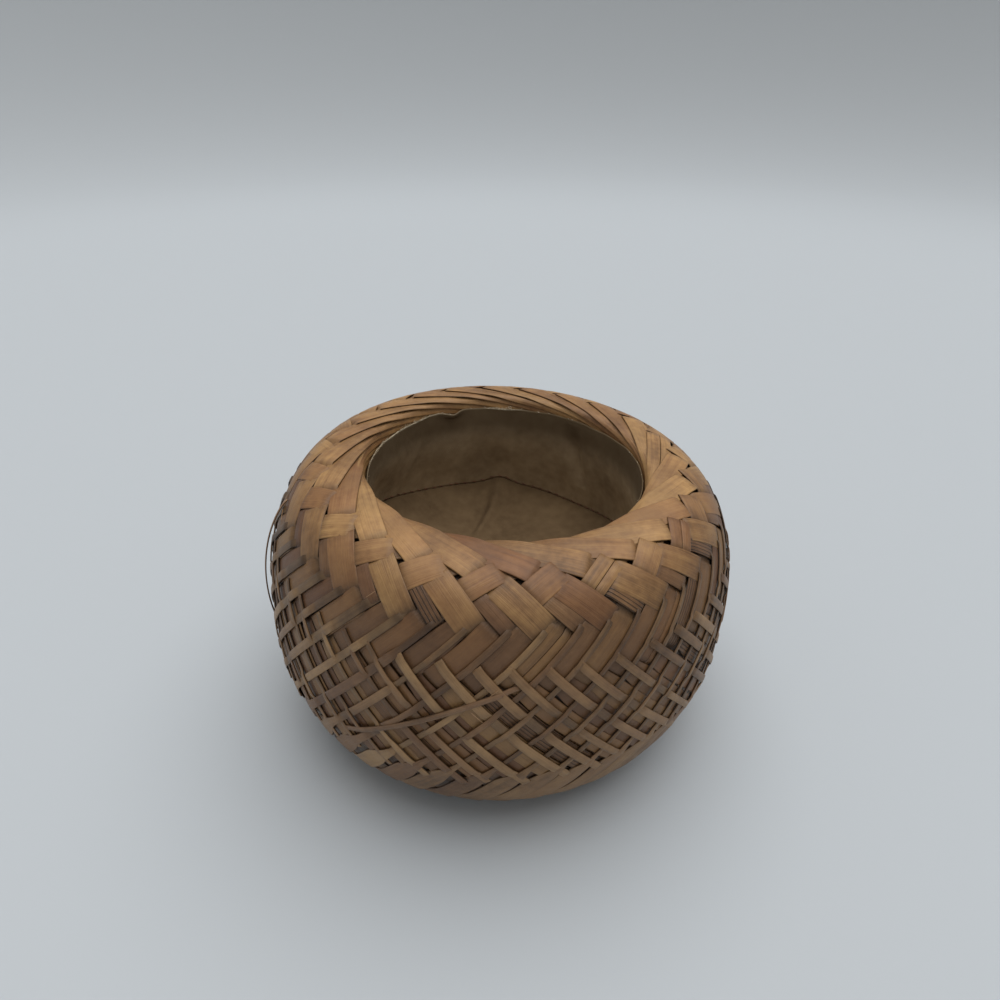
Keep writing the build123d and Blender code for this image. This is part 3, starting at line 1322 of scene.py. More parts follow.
    def splint(self, hand: Hand, place: int) -> list[Surface]:
        """A wide splint, or the two halves of one that has split along its length.

        A half is its cut of the width, less a little for the gap. Its middle lies off the splint's by
        half the other part, which is (1 - cut) / cut of half its own width.

        Args:
            hand: Way in which it turns.
            place: Its number, counted round from the first.

        Returns:
            One or two closed surfaces.
        """
        right = hand is Hand.RIGHT
        family = self.right if right else self.left
        rng = self.rng
        share = rng.uniform(*self.width_spread)
        shared = {
            "hand": hand,
            "azimuth": self.first_azimuth + 360 / self.count * place + rng.uniform(*self.azimuth_spread),
            "start": self.start_arc + rng.uniform(*self.start_spread),
            "end": self.skin.fold_end if family.top is None else self.crossing_arc(family.top),
            "lift": self.lifted(family, hand),
            "thickness": self.thickness,
            "wander": self.wander,
            "phase": rng.uniform(0, 360),
            "tilt": self.tilt if right else np.zeros_like,
            "spacing": self.spacing,
        }
        tone, blush = rng.uniform(*self.tone_spread), rng.random() ** 3
        parts = [(0, 1.0)]
        if rng.random() <= self.split_share:
            cut = rng.uniform(*self.split_spread)
            parts = [(-1, cut), (1, 1 - cut)]
        surfaces = []
        for side, cut in parts:
            kept = cut * (self.split_width_share if side else 1)
            surfaces.append(Strip(
                width=self.width(family.widths, share * kept),
                offset_share=side * (1 - cut) / kept,
                grain=Grain(
                    tone + self.split_tone * side, blush,
                    number=place + FAMILY_STEP * right + self.split_number * side,
                ),
                **shared,
            ).surface(self.skin))
        return surfaces

    def companion(self, hand: Hand, place: int) -> Surface:
        """A narrower strip that runs between two wide splints below the shoulder.

        Args:
            hand: Way in which it turns.
            place: Its number, counted round from the first.

        Returns:
            The strip as one closed surface.
        """
        right = hand is Hand.RIGHT
        family = self.right_companions if right else self.left_companions
        rng = self.rng
        middle = self.first_azimuth + 360 / self.count * (place + 0.5)
        return Strip(
            hand=hand,
            azimuth=middle + rng.uniform(*self.azimuth_spread),
            start=self.start_arc + rng.uniform(*self.start_spread),
            end=self.crossing_arc(family.top),
            width=self.width(family.widths, rng.uniform(*self.companion_width_spread)),
            lift=self.lifted(family, hand, self.companion_drop),
            thickness=self.thickness,
            grain=Grain(
                tone=rng.uniform(*self.companion_tone_spread),
                blush=rng.random() ** 2,
                split=float(rng.random() < self.comb_share),
                number=place + FAMILY_STEP * (right + 0.5),
            ),
            wander=self.wander,
            phase=rng.uniform(0, 360),
            spacing=self.spacing,
        ).surface(self.skin)

    def build(self) -> None:
        """Makes each wide splint, and each family of companions."""
        splint_material = self.finish.material()
        companion_material = self.companion_finish.material()
        for hand in Hand:
            word = hand.name.lower()
            for place in range(self.count):
                node = f"{word}_splint_{place + 1:02d}"
                splint = make_piece(f"{node}_woven", self.splint(hand, place), splint_material)
                dress(splint, "splint_wood", node)
            node = f"{word}_companion_strips"
            strips = [self.companion(hand, place) for place in range(self.count)]
            dress(make_piece(f"{node}_woven", strips, companion_material), "companion_wood", node)
            log.info("%s hand: %d splints with their companions", word, self.count)


@dataclass
class Lattice:
    """The narrow strips over the lower wall, whose left hand swirls on round the foot.

    By quarters round the basket one hand makes short wide pegs and the other long narrow strips.
    Lifts are heights over the skin. Tops are crossings of the wall, as are the starts of the rows and
    of the tuck. Spreads are how far strips differ at random, as the least and the greatest.
    """

    skin: Skin
    wall: Wall
    rng: np.random.Generator
    peg_width: float = 2.9
    long_width: float = 1.9
    thickness: float = 0.5
    over_lift: float = 0.86
    under_lift: float = 0.32
    rows_lift: float = 0.24
    rows_start: float = 18.6
    rows_run: float = 0.4
    tuck_lift: float = -0.75
    tuck_start: float = 20.5
    tuck_run: float = 0.35
    left_top: float = 21.1
    right_top: float = 18.66
    right_top_spread: tuple[float, float] = (-0.06, 0.08)
    left_offset: float = 2.8
    left_offset_spread: tuple[float, float] = (-0.7, 0.7)
    right_offset: float = 0.8
    right_offset_spread: tuple[float, float] = (-1.0, 1.0)
    sector_azimuth: float = -67.0
    sector_sharpness: float = 12.0
    right_floats: Floats = Floats(((15.98, 18.48), (11.98, 14.48)), 0.25)
    left_floats: Floats = Floats(((17.85, 30), (13.95, 16.85), (-99, 12.9)), 0.25)
    foot_arc: float = 53.0
    foot_run: float = 12.0
    foot_lift: float = -0.35
    right_foot_lift: float = 0.3
    slit_share: float = 0.84
    foot_overlap: float = 1.2
    overlap_arc: float = 32.0
    overlap_run: float = 10.0
    left_start_arc: float = -4.0
    right_start_arc: float = 50.5
    right_start_spread: tuple[float, float] = (-2.0, 2.0)
    width_spread: tuple[float, float] = (0.86, 1.1)
    tone_spread: tuple[float, float] = (0.1, 0.95)
    wander: float = 0.3
    spacing: float = 1.1
    first_number: int = 200
    finish: WoodFinish = WoodFinish(
        "lattice_wood", (90, 66, 44), (144, 110, 74), (186, 148, 102), (124, 84, 56), low_shade=0.28)

    def pegs(self, hand: Hand, azimuth: np.ndarray) -> np.ndarray:
        """One where this hand makes the pegs, zero where it makes the long strips, by quarters.

        Args:
            hand: The hand that is asked for.
            azimuth: Azimuths in degrees.

        Returns:
            Shares from 0 to 1.
        """
        wave = np.cos(np.radians(2 * (azimuth - self.sector_azimuth)))
        right = smooth(wave * self.sector_sharpness)
        return right if hand is Hand.RIGHT else 1 - right

    def over(self, hand: Hand, arc: np.ndarray, azimuth: np.ndarray) -> np.ndarray:
        """One where a hand is on top, zero where it is under.

        Args:
            hand: The hand that is asked for.
            arc: Distances up the skin.
            azimuth: Azimuths in degrees.

        Returns:
            Shares from 0 to 1.
        """
        crossing = self.wall.crossing(arc)
        right_pegs = self.pegs(Hand.RIGHT, azimuth) > 0.5
        right = np.where(right_pegs, self.right_floats.over(crossing), 1 - self.left_floats.over(crossing))
        return right if hand is Hand.RIGHT else 1 - right

    def pitch(self, arc: np.ndarray) -> np.ndarray:
        """Distance between neighbouring strips of one hand, square to them."""
        return self.wall.pitch(arc) / 2

    def foot(self, arc: np.ndarray) -> np.ndarray:
        """One in the swirl at the foot, zero in the lattice."""
        return smooth((self.foot_arc - arc) / self.foot_run)

    def dirt_and_shade(self, arc: np.ndarray) -> np.ndarray:
        """Share of the painted shade of the dives that shows: all in the lattice, none in the swirl, which
        lies open.
        """
        return 1 - smooth((self.foot_arc - arc) / self.foot_run + 0.5)

    def tilt(self, arc: np.ndarray) -> np.ndarray:
        """Tilt with which each strip of the swirl lies with its lower edge over the next."""
        return -self.foot(arc) * self.thickness / self.pitch(arc)

    def lifted(self, hand: Hand) -> Placed:
        """Height of a strip of one hand over the skin, at an arc and an azimuth."""

        def lift(arc: np.ndarray, azimuth: np.ndarray) -> np.ndarray:
            """Woven in the lattice, flat on the rows above, tucked in at the top and down at the foot.

            Args:
                arc: Distances up the skin.
                azimuth: Azimuths in degrees.

            Returns:
                Heights over the skin.
            """
            crossing = self.wall.crossing(arc)
            woven = mixed(self.under_lift, self.over_lift, self.over(hand, arc, azimuth))
            if hand is Hand.RIGHT:
                return mixed(woven, self.right_foot_lift, self.foot(arc))
            woven = mixed(woven, self.rows_lift, smooth((crossing - self.rows_start) / self.rows_run))
            woven = mixed(woven, self.tuck_lift, smooth((crossing - self.tuck_start) / self.tuck_run))
            low = self.foot_lift + self.tilt(arc) * self.pitch(arc) * self.foot_overlap / 2
            return mixed(woven, low, self.foot(arc))

        return lift

    def widths(self, hand: Hand, share: float) -> Placed:
        """Width of a strip: by its part in the lattice, and by the room for it in the swirl."""

        def width(arc: np.ndarray, azimuth: np.ndarray) -> np.ndarray:
            """Mixes the widths of pegs and long strips, of the slits and of the overlap below them.

            Args:
                arc: Distances up the skin.
                azimuth: Azimuths in degrees.

            Returns:
                Widths in millimetres.
            """
            lattice_width = share * mixed(self.long_width, self.peg_width, self.pegs(hand, azimuth))
            if hand is Hand.RIGHT:
                return lattice_width
            lapped = smooth((self.overlap_arc - arc) / self.overlap_run)
            room = mixed(self.slit_share, self.foot_overlap, lapped) * self.pitch(arc)
            return mixed(lattice_width, room, self.foot(arc))

        return width

    def strip(self, hand: Hand, place: int) -> Surface:
        """One strip of the lattice.

        Args:
            hand: Way in which it turns.
            place: Its number, counted round from the first.

        Returns:
            The strip as one closed surface.
        """
        rng = self.rng
        if hand is Hand.LEFT:
            offset = self.left_offset + rng.uniform(*self.left_offset_spread)
            top, start, tilt = self.left_top, self.left_start_arc, self.tilt
        else:
            offset = self.right_offset + rng.uniform(*self.right_offset_spread)
            top = self.right_top + rng.uniform(*self.right_top_spread)
            start, tilt = self.right_start_arc + rng.uniform(*self.right_start_spread), np.zeros_like
        width = self.widths(hand, rng.uniform(*self.width_spread))
        tone, blush = rng.uniform(*self.tone_spread), rng.random() ** 2
        return Strip(
            hand=hand,
            azimuth=self.wall.first_azimuth + 360 / (2 * self.wall.count) * place + offset,
            start=start,
            end=self.wall.crossing_arc(top),
            width=width,
            lift=self.lifted(hand),
            thickness=self.thickness,
            tilt=tilt,
            dirt_and_shade=self.dirt_and_shade,
            grain=Grain(tone, blush, number=place + self.first_number + FAMILY_STEP * hand.value),
            wander=self.wander,
            phase=rng.uniform(0, 360),
            spacing=self.spacing,
        ).surface(self.skin)

    def build(self) -> None:
        """Makes both families."""
        material = self.finish.material()
        for hand in Hand:
            strips = [self.strip(hand, place) for place in range(2 * self.wall.count)]
            node = f"lattice_{hand.name.lower()}_strips"
            dress(make_piece(f"{node}_woven", strips, material), "lattice_wood", node)
            log.info("%s: %d strips", node, len(strips))


@dataclass
class InnerBasket:
    """The dark fine-woven foundation behind the splints."""

    skin: Skin
    depth: float = 2.3
    wall: float = 1.0
    relief: float = 0.12
    ribs: int = 120
    columns: int = 480
    rows: int = 100
    mouth_arc: float = 134.0
    grain: Grain = Grain(0.4, split=1.0)
    finish: WoodFinish = WoodFinish("inner_wood", (34, 25, 18), (64, 47, 34), (92, 70, 50), (58, 36, 27))

    def build(self) -> None:
        """Makes a closed shell, ribbed outside: relief times sin(ribs turn), turned over row by row."""
        arcs = np.linspace(-self.skin.run_on, self.mouth_arc, self.rows)
        arc, turn = np.meshgrid(arcs, full_turn(self.columns), indexing="ij")
        rib = np.sin(np.radians(self.ribs * turn)) * np.sign(np.sin(arc))
        outer = self.skin.place(arc, turn, -self.depth + self.relief * rib)
        inner = self.skin.place(arc, turn, np.full_like(arc, -self.depth - self.wall))
        pattern = np.stack([turn, arc], axis=-1) / 10
        foundation = shell(outer, inner, pattern, 360 / 10, self.grain.marks(), dish=True)
        piece = make_piece("inner_basket_woven", [foundation], self.finish.material())
        dress(piece, "inner_wood", "inner_basket_bottom", "inner_basket_wall", "inner_basket_shoulder")
        log.info("inner basket: ribbed shell")


@dataclass
class RimHoop:
    """The core hoop that the sweep is folded over at the mouth."""

    skin: Skin
    ring_radius: float = 54.4
    height: float = 103.4
    tube_radius: float = 1.3
    sides: int = 10
    steps: int = 240
    finish: WoodFinish = WoodFinish("hoop_wood", (96, 70, 48), (146, 112, 80), (184, 148, 108))

    def build(self) -> None:
        """Makes the hoop, which leans with the mouth."""
        turn = full_turn(self.steps)
        path = self.skin.settle(around(self.ring_radius, turn, self.height))
        hoop = tubes(path[None], self.tube_radius, self.sides, closed=True)
        hoop.marks = Grain().marks()
        dress(make_piece("rim_hoop_bent", [hoop], self.finish.material()), "hoop_wood", "rim_hoop")
        log.info("rim hoop")


@dataclass
class Foot:
    """The plaited bottom and the twisted ring round it that the basket stands on."""

    rng: np.random.Generator
    reach: float = 50.8
    pitch: float = 9.2
    width: float = 8.1
    count: int = 11
    thickness: float = 0.5
    middle_height: float = 0.78
    wave: float = 0.4
    ring_radius: float = 51.6
    ring_height: float = 1.1
    strand_radius: float = 0.55
    strand_sides: int = 8
    twists: int = 64
    steps: int = 720
    stations: int = 64
    # Height mark of the foot's pieces, low enough for the full painted shade of the lower wall.
    shaded_height: float = 0.3
    tone_spread: tuple[float, float] = (0.1, 0.9)
    ring_grain: Grain = Grain(0.4)
    finish: WoodFinish = WoodFinish("foot_wood", (74, 54, 39), (116, 88, 64), (152, 122, 90), (108, 70, 50))

    def ribbon(self, place: int, crosswise: bool, section: Section = Section()) -> Surface:
        """One flat strip of the bottom, whose ends follow the ring.

        The strip rises and falls by the wave times cos(pi x / pitch), one way or the other by turns,
        so that it passes over and under the strips that it crosses.

        Args:
            place: Its place counted from the middle strip.
            crosswise: Whether it runs along Y.
            section: Its cross-section.

        Returns:
            The strip as one closed surface.
        """
        across, through, edge = section.rows(self.thickness)
        y = place * self.pitch + across * self.width / 2
        half = np.sqrt(np.maximum(self.reach**2 - y**2, 1))
        x = np.linspace(-1, 1, self.stations)[:, None] * half
        side = (-1) ** place * (-1 if crosswise else 1)
        z = self.middle_height + side * self.wave * np.cos(np.pi * x / self.pitch) + through
        x, y = np.broadcast_arrays(*((y, x) if crosswise else (x, y)))
        grain = Grain(self.rng.uniform(*self.tone_spread), self.rng.random() ** 2)
        along, beside = (y, x) if crosswise else (x, y)
        pattern = np.stack([along, beside + 2 * PATTERN_STEP * crosswise], axis=-1) / 10
        return swept(np.stack([x, y, z], axis=-1), pattern, grain.marks(edge=edge, height=self.shaded_height))

    def ring(self) -> Surface:
        """Two strands, each a circle that itself turns round the ring's middle line.

        Returns:
            Both strands as one surface.
        """
        turn = full_turn(self.steps)
        twist = np.radians(self.twists * turn)[None, :] + np.array([0, np.pi])[:, None]
        radius = self.ring_radius + self.strand_radius * np.cos(twist)
        height = self.ring_height + self.strand_radius * np.sin(twist)
        paths = around(radius, turn[None, :], height)
        strands = tubes(paths, self.strand_radius, self.strand_sides, closed=True)
        strands.marks = self.ring_grain.marks(height=self.shaded_height)
        return strands

    def build(self) -> None:
        """Makes both sets of strips and the ring."""
        material = self.finish.material()
        places = range(-(self.count // 2), self.count // 2 + 1)
        for crosswise, word in ((False, "lengthwise"), (True, "crosswise")):
            strips = [self.ribbon(place, crosswise) for place in places]
            node = f"base_splints_{word}"
            dress(make_piece(f"{node}_woven", strips, material), "splint_wood", node)
        ring = make_piece("foot_ring_twisted", [self.ring()], material)
        log.info("foot: plaited bottom and twisted ring")


@dataclass(frozen=True)
class Swell:
    """A rise or a dip of the cloth round one azimuth.

    Attributes:
        azimuth: Where it is.
        height: How high it is, below zero for a dip.
        spread: Degrees at which it falls to 1/e.
    """

    azimuth: float
    height: float
    spread: float

    def at(self, azimuth: np.ndarray) -> np.ndarray:
        """Its height times a bell round its azimuth."""
        return self.height * hill(azimuth, self.azimuth, self.spread)


@dataclass(frozen=True)
class Wave:
    """A wave of the cloth round the basket.

    Attributes:
        count: Waves in one turn.
        height: Height over the middle.
        phase: Phase in radians.
        drift: Change of the phase from the hem to the seam.
    """

    count: int
    height: float
    phase: float = 0.0
    drift: float = 0.0

    def at(self, azimuth: np.ndarray, share: np.ndarray | float = 0.0) -> np.ndarray:
        """Its height times the sine of its count of turns, its phase and its drift at a share."""
        return self.height * np.sin(self.count * np.radians(azimuth) + self.phase + self.drift * share)


@dataclass(frozen=True)
class Crease:
    """A pleat or ridge that runs down the cloth.

    Attributes:
        top: Height at which it starts.
        length: Height over which it runs down.
        depth: How far it goes outward, below zero for inward.
        azimuth: Azimuth of its upper end.
        lean: Degrees by which its lower end lies further round.
        spread: Degrees at which it falls to 1/e.
    """

    top: float
    length: float
    depth: float
    azimuth: float
    lean: float
    spread: float

    def at(self, azimuth: np.ndarray, height: np.ndarray) -> np.ndarray:
        """Its depth times sin(pi s) times a bell across it, where s goes from 0 at its top to 1.

        Args:
            azimuth: Azimuths in degrees.
            height: Heights in millimetres.

        Returns:
            What it adds to the radius.
        """
        share = np.clip((self.top - height) / self.length, 0, 1)
        line = self.azimuth + self.lean * share
        return self.depth * np.sin(np.pi * share) * hill(azimuth, line, self.spread)


@dataclass
class Lining:
    """The cloth inside: a wall that hangs from the mouth and a round bottom sewn to it.

    The seam is pulled up at the left, with a small peak at the back. The raw edge is a little uneven
    and lower at the left, and a flap of it curls inward. A leaf-shaped pleat goes outward at the back
    right and a faint ridge comes inward at the back left.
    """

    skin: Skin
    rng: np.random.Generator
    top_height: float = 101.3
    top_radius: float = 51.0
    hem_height: float = 91.5
    seam_height: float = 61.0
    seam_radius: float = 56.0
    bulge: float = 1.6
    sag: float = 9.0
    sag_power: float = 3.5
    middle_share: float = 0.006
    thickness: float = 0.36
    seam_swells: tuple[Swell, ...] = (Swell(170, 10, 35), Swell(90, 3, 7), Swell(50, -3.5, 25))
    edge_swells: tuple[Swell, ...] = (Swell(150, -0.8, 25), Swell(205, -3.2, 42), Swell(116, -1.2, 4))
    edge_waves: tuple[Wave, ...] = (Wave(3, 0.35, 1), Wave(7, 0.25), Wave(23, 0.12))
    wall_waves: tuple[Wave, ...] = (Wave(5, 0.4), Wave(11, 0.25, drift=3))
    creases: tuple[Crease, ...] = (
        Crease(98.5, 30.8, 2.6, 55.6, -7.6, 3.8), Crease(92, 22, -0.9, 134, 9, 2.2))
    curl: Swell = Swell(116, 2, 4)
    curl_run: float = 2.0
    fray_swells: tuple[Swell, ...] = (Swell(148, 1, 24), Swell(90, 1, 7))
    fray_depth: float = 0.4
    fray_run: float = 0.5
    shade_share: float = 0.8
    shade_height: float = 89.0
    shade_run: float = 12.0
    fold_height: float = 2.2
    fold_spread: float = 2.5
    fold_bend: float = 9.5
    fold_reach: float = 33.0
    fold_end: float = 24.0
    fold_end_run: float = 12.0
    valley_depth: float = 1.3
    valley_spread: float = 2.2
    valley_offset: float = 4.4
    wrinkle: float = 0.5
    wrinkle_lengths: tuple[float, float] = (7.0, 10.0)
    columns: int = 288
    rows: int = 60
    threads_round: int = 485
    stitches: int = 88
    stitch_sway: float = 0.15
    stitch_turn: float = 1.1
    stitch_slant: float = 0.35
    stitch_rise: float = 0.5
    stitch_spread: float = 0.3
    stitch_bow: float = 0.3
    stitch_radius: float = 0.17
    fray_stretches: tuple[tuple[float, float, int], ...] = (
        (118, 178, 120), (82, 100, 60), (0, 360, 60))
    fray_lengths: tuple[float, float] = (0.6, 2.4)
    fray_whole_share: float = 0.4
    fray_turn: float = 1.6
    fray_root: float = 0.3
    fray_rises: tuple[float, float] = (0.2, 1.0)
    fray_leans: tuple[float, float] = (-0.2, 0.9)
    fray_radius: float = 0.09
    fray_sides: int = 5
    thread_steps: int = 5
    finish: ClothFinish = ClothFinish("lining_cloth", (190, 168, 136), (124, 105, 80))
    # The bottom's cloth is a darker copy of the wall's: painted shade.
    bottom_finish: ClothFinish = ClothFinish("lining_cloth_shaded", (129, 107, 79), (85, 67, 47))
    stitch_finish: ThreadFinish = ThreadFinish("stitch_thread", (150, 104, 84), (108, 70, 58))
    fray_finish: ThreadFinish = ThreadFinish("fray_thread", (222, 208, 182), (170, 150, 120))

    def seam(self, azimuth: np.ndarray) -> np.ndarray:
        """Height of the seam: its plain height and its swells."""
        return self.seam_height + sum(swell.at(azimuth) for swell in self.seam_swells)

    def top(self, azimuth: np.ndarray) -> np.ndarray:
        """Height of the raw edge: its plain height, its waves and its dips."""
        wave = sum(wave.at(azimuth) for wave in self.edge_waves)
        return self.top_height + wave + sum(swell.at(azimuth) for swell in self.edge_swells)

    def frayed(self, azimuth: np.ndarray) -> np.ndarray:
        """How far the raw edge has come apart, from 0 to 1."""
        return np.clip(sum(swell.at(azimuth) for swell in self.fray_swells), 0, 1)

    def radius(self, azimuth: np.ndarray, height: np.ndarray) -> np.ndarray:
        """Radius of the wall's cloth.

        Below the hem it widens by s^2 (3 - s) / 2, where s goes from 0 at the hem to 1 at the seam,
        plus the bulge times s sin(pi s), and its waves times sin(pi s). The creases are added, and
        the curl is taken off near the raw edge.

        Args:
            azimuth: Azimuths in degrees.
            height: Heights in millimetres.

        Returns:
            Radii in millimetres.
        """
        share = np.clip((self.hem_height - height) / (self.hem_height - self.seam(azimuth)), 0, 1)
        radius = mixed(self.top_radius, self.seam_radius, share**2 * (3 - share) / 2)
        swell = np.sin(np.pi * share)
        radius = radius + self.bulge * share * swell
        radius = radius + swell * sum(wave.at(azimuth, share) for wave in self.wall_waves)
        radius = radius + sum(crease.at(azimuth, height) for crease in self.creases)
        near_edge = smooth((height - self.top(azimuth) + self.curl_run) / self.curl_run)
        return radius - self.curl.at(azimuth) * near_edge

    def wall(self) -> bpy.types.Object:
        """The wall, as a closed layer with the thickness of the cloth.

        Returns:
            The cloth as one piece.
        """
        azimuth = full_turn(self.columns)[None, :]
        share = np.linspace(0, 1, self.rows)[:, None]
        height = mixed(self.top(azimuth), self.seam(azimuth), share)
        radius = self.radius(azimuth, height)
        outer = self.skin.settle(around(radius + self.thickness / 2, azimuth, height))
        inner = self.skin.settle(around(radius - self.thickness / 2, azimuth, height))
        length = self.threads_round * self.finish.thread / 10
        pattern = np.stack(np.broadcast_arrays(azimuth / 360 * length, height / 10), axis=-1)
        near_edge = smooth((height - self.top(azimuth) + self.fray_depth) / self.fray_run)
        # Painted shade: the cloth darkens towards its top, under the rim.
        shade = self.shade_share * smooth((height - self.shade_height) / self.shade_run)
        marks = {"fray": near_edge * self.frayed(azimuth), "shade": shade}
        surface = shell(outer, inner, pattern, length, marks)
        return make_piece("lining_wall_cloth", [surface], self.finish.material())

    def fold(self, x: np.ndarray, y: np.ndarray) -> np.ndarray:
        """Rise of the bottom's one ridge fold.

        The fold's line starts at the back edge and bends towards -X by the fold's bend times t^1.4,
        where t is the way forward as a share of its reach. The fold is a bell across that line, less
        the bell of a shallow valley at its left, and dies out at its end.

        Args:
            x: Places to the right.
            y: Places to the back.

        Returns:
            Rises in millimetres.
        """
        line = -self.fold_bend * np.clip((self.seam_radius - y) / self.fold_reach, 0, 1.5) ** 1.4
        ridge = self.fold_height * np.exp(-(((x - line) / self.fold_spread) ** 2))
        valley = self.valley_depth * np.exp(-(((x - line + self.valley_offset) / self.valley_spread) ** 2))
        return (ridge - valley) * smooth((y - self.fold_end) / self.fold_end_run)

    def bottom(self) -> bpy.types.Object:
        """The bottom: a dish that sags from the seam, with one ridge fold and soft wrinkles.

        It rises from its sagged middle to the seam by the share of the radius to the sag's power. The
        fold is added away from the seam, and a soft wave along X and Y towards the middle.

        Returns:
            The cloth as one closed layer.
        """
        azimuth = full_turn(self.columns)[None, :]
        share = np.linspace(self.middle_share, 1, self.rows)[:, None]
        flat = around(share * self.seam_radius, azimuth, np.zeros_like(share * azimuth))
        x, y = flat[..., 0], flat[..., 1]
        low = self.seam_height - self.sag
        height = mixed(low, self.seam(azimuth), share**self.sag_power)
        height = height + self.fold(x, y) * (1 - share**8)
        wave = np.sin(x / self.wrinkle_lengths[0] + 1) * np.cos(y / self.wrinkle_lengths[1])
        flat[..., 2] = height + self.wrinkle * wave * (1 - share)
        lower = flat - np.array([0, 0, self.thickness])
        flat, lower = self.skin.settle(flat), self.skin.settle(lower)
        surface = shell(flat, lower, flat[..., :2] / 10, 0.0, {"fray": 0.0, "shade": 0.0}, dish=True)
        return make_piece("lining_floor_cloth", [surface], self.bottom_finish.material())

    def seam_stitches(self) -> bpy.types.Object:
        """Short stitches that lie along the seam, each a bow a little inside the cloth.

        Returns:
            The stitches as one piece.
        """
        sway = self.rng.uniform(-self.stitch_sway, self.stitch_sway, (self.stitches, 1))
        azimuth = 360 / self.stitches * (np.arange(self.stitches)[:, None] + sway)
        step = np.linspace(-1, 1, self.thread_steps)[None, :]
        turn = azimuth + self.stitch_turn * step
        spread = self.rng.uniform(-self.stitch_spread, self.stitch_spread, azimuth.shape)
        height = self.seam(turn) + self.stitch_rise + spread + self.stitch_slant * step
        radius = self.radius(turn, height) - self.thickness / 2 - self.stitch_bow * (1 - step**2)
        paths = self.skin.settle(around(radius, turn, height))
        threads = tubes(paths, self.stitch_radius)
        return make_piece("lining_stitches", [threads], self.stitch_finish.material())

    def fray(self) -> bpy.types.Object:
        """Loose thread ends along the raw edge, longest where it has come apart most.

        A thread leaves its root at the edge with its turn times t^1.5, its rise times t and its lean
        inward times t^2, where t goes from 0 to 1 along it.

        Returns:
            The threads as one piece.
        """
        rng = self.rng
        azimuth = np.concatenate([rng.uniform(*stretch) for stretch in self.fray_stretches])[:, None]
        step = np.linspace(0, 1, self.thread_steps)[None, :]
        whole = mixed(self.fray_whole_share, 1, self.frayed(azimuth))
        length = rng.uniform(*self.fray_lengths, azimuth.shape) * whole
        turn = azimuth + rng.uniform(-self.fray_turn, self.fray_turn, azimuth.shape) * step**1.5
        rise = length * step * rng.uniform(*self.fray_rises, azimuth.shape)
        height = self.top(azimuth) - self.fray_root + rise
        inward = length * rng.uniform(*self.fray_leans, azimuth.shape) * step**2
        paths = self.skin.settle(around(self.radius(azimuth, self.top(azimuth)) - inward, turn, height))
        threads = tubes(paths, self.fray_radius, self.fray_sides)
        return make_piece("lining_fray", [threads], self.fray_finish.material())

    def build(self) -> None:
        """Makes both cloths with their threads."""
        wall = self.wall()
        bottom = self.bottom()
        stitches = self.seam_stitches()
        fray = self.fray()
        dress(wall, "lining_cloth", "lining_wall")
        dress(bottom, "lining_cloth", "lining_floor")
        threads = sum(count for _, _, count in self.fray_stretches)
        log.info("lining: wall, bottom, %d stitches and %d loose threads", self.stitches, threads)


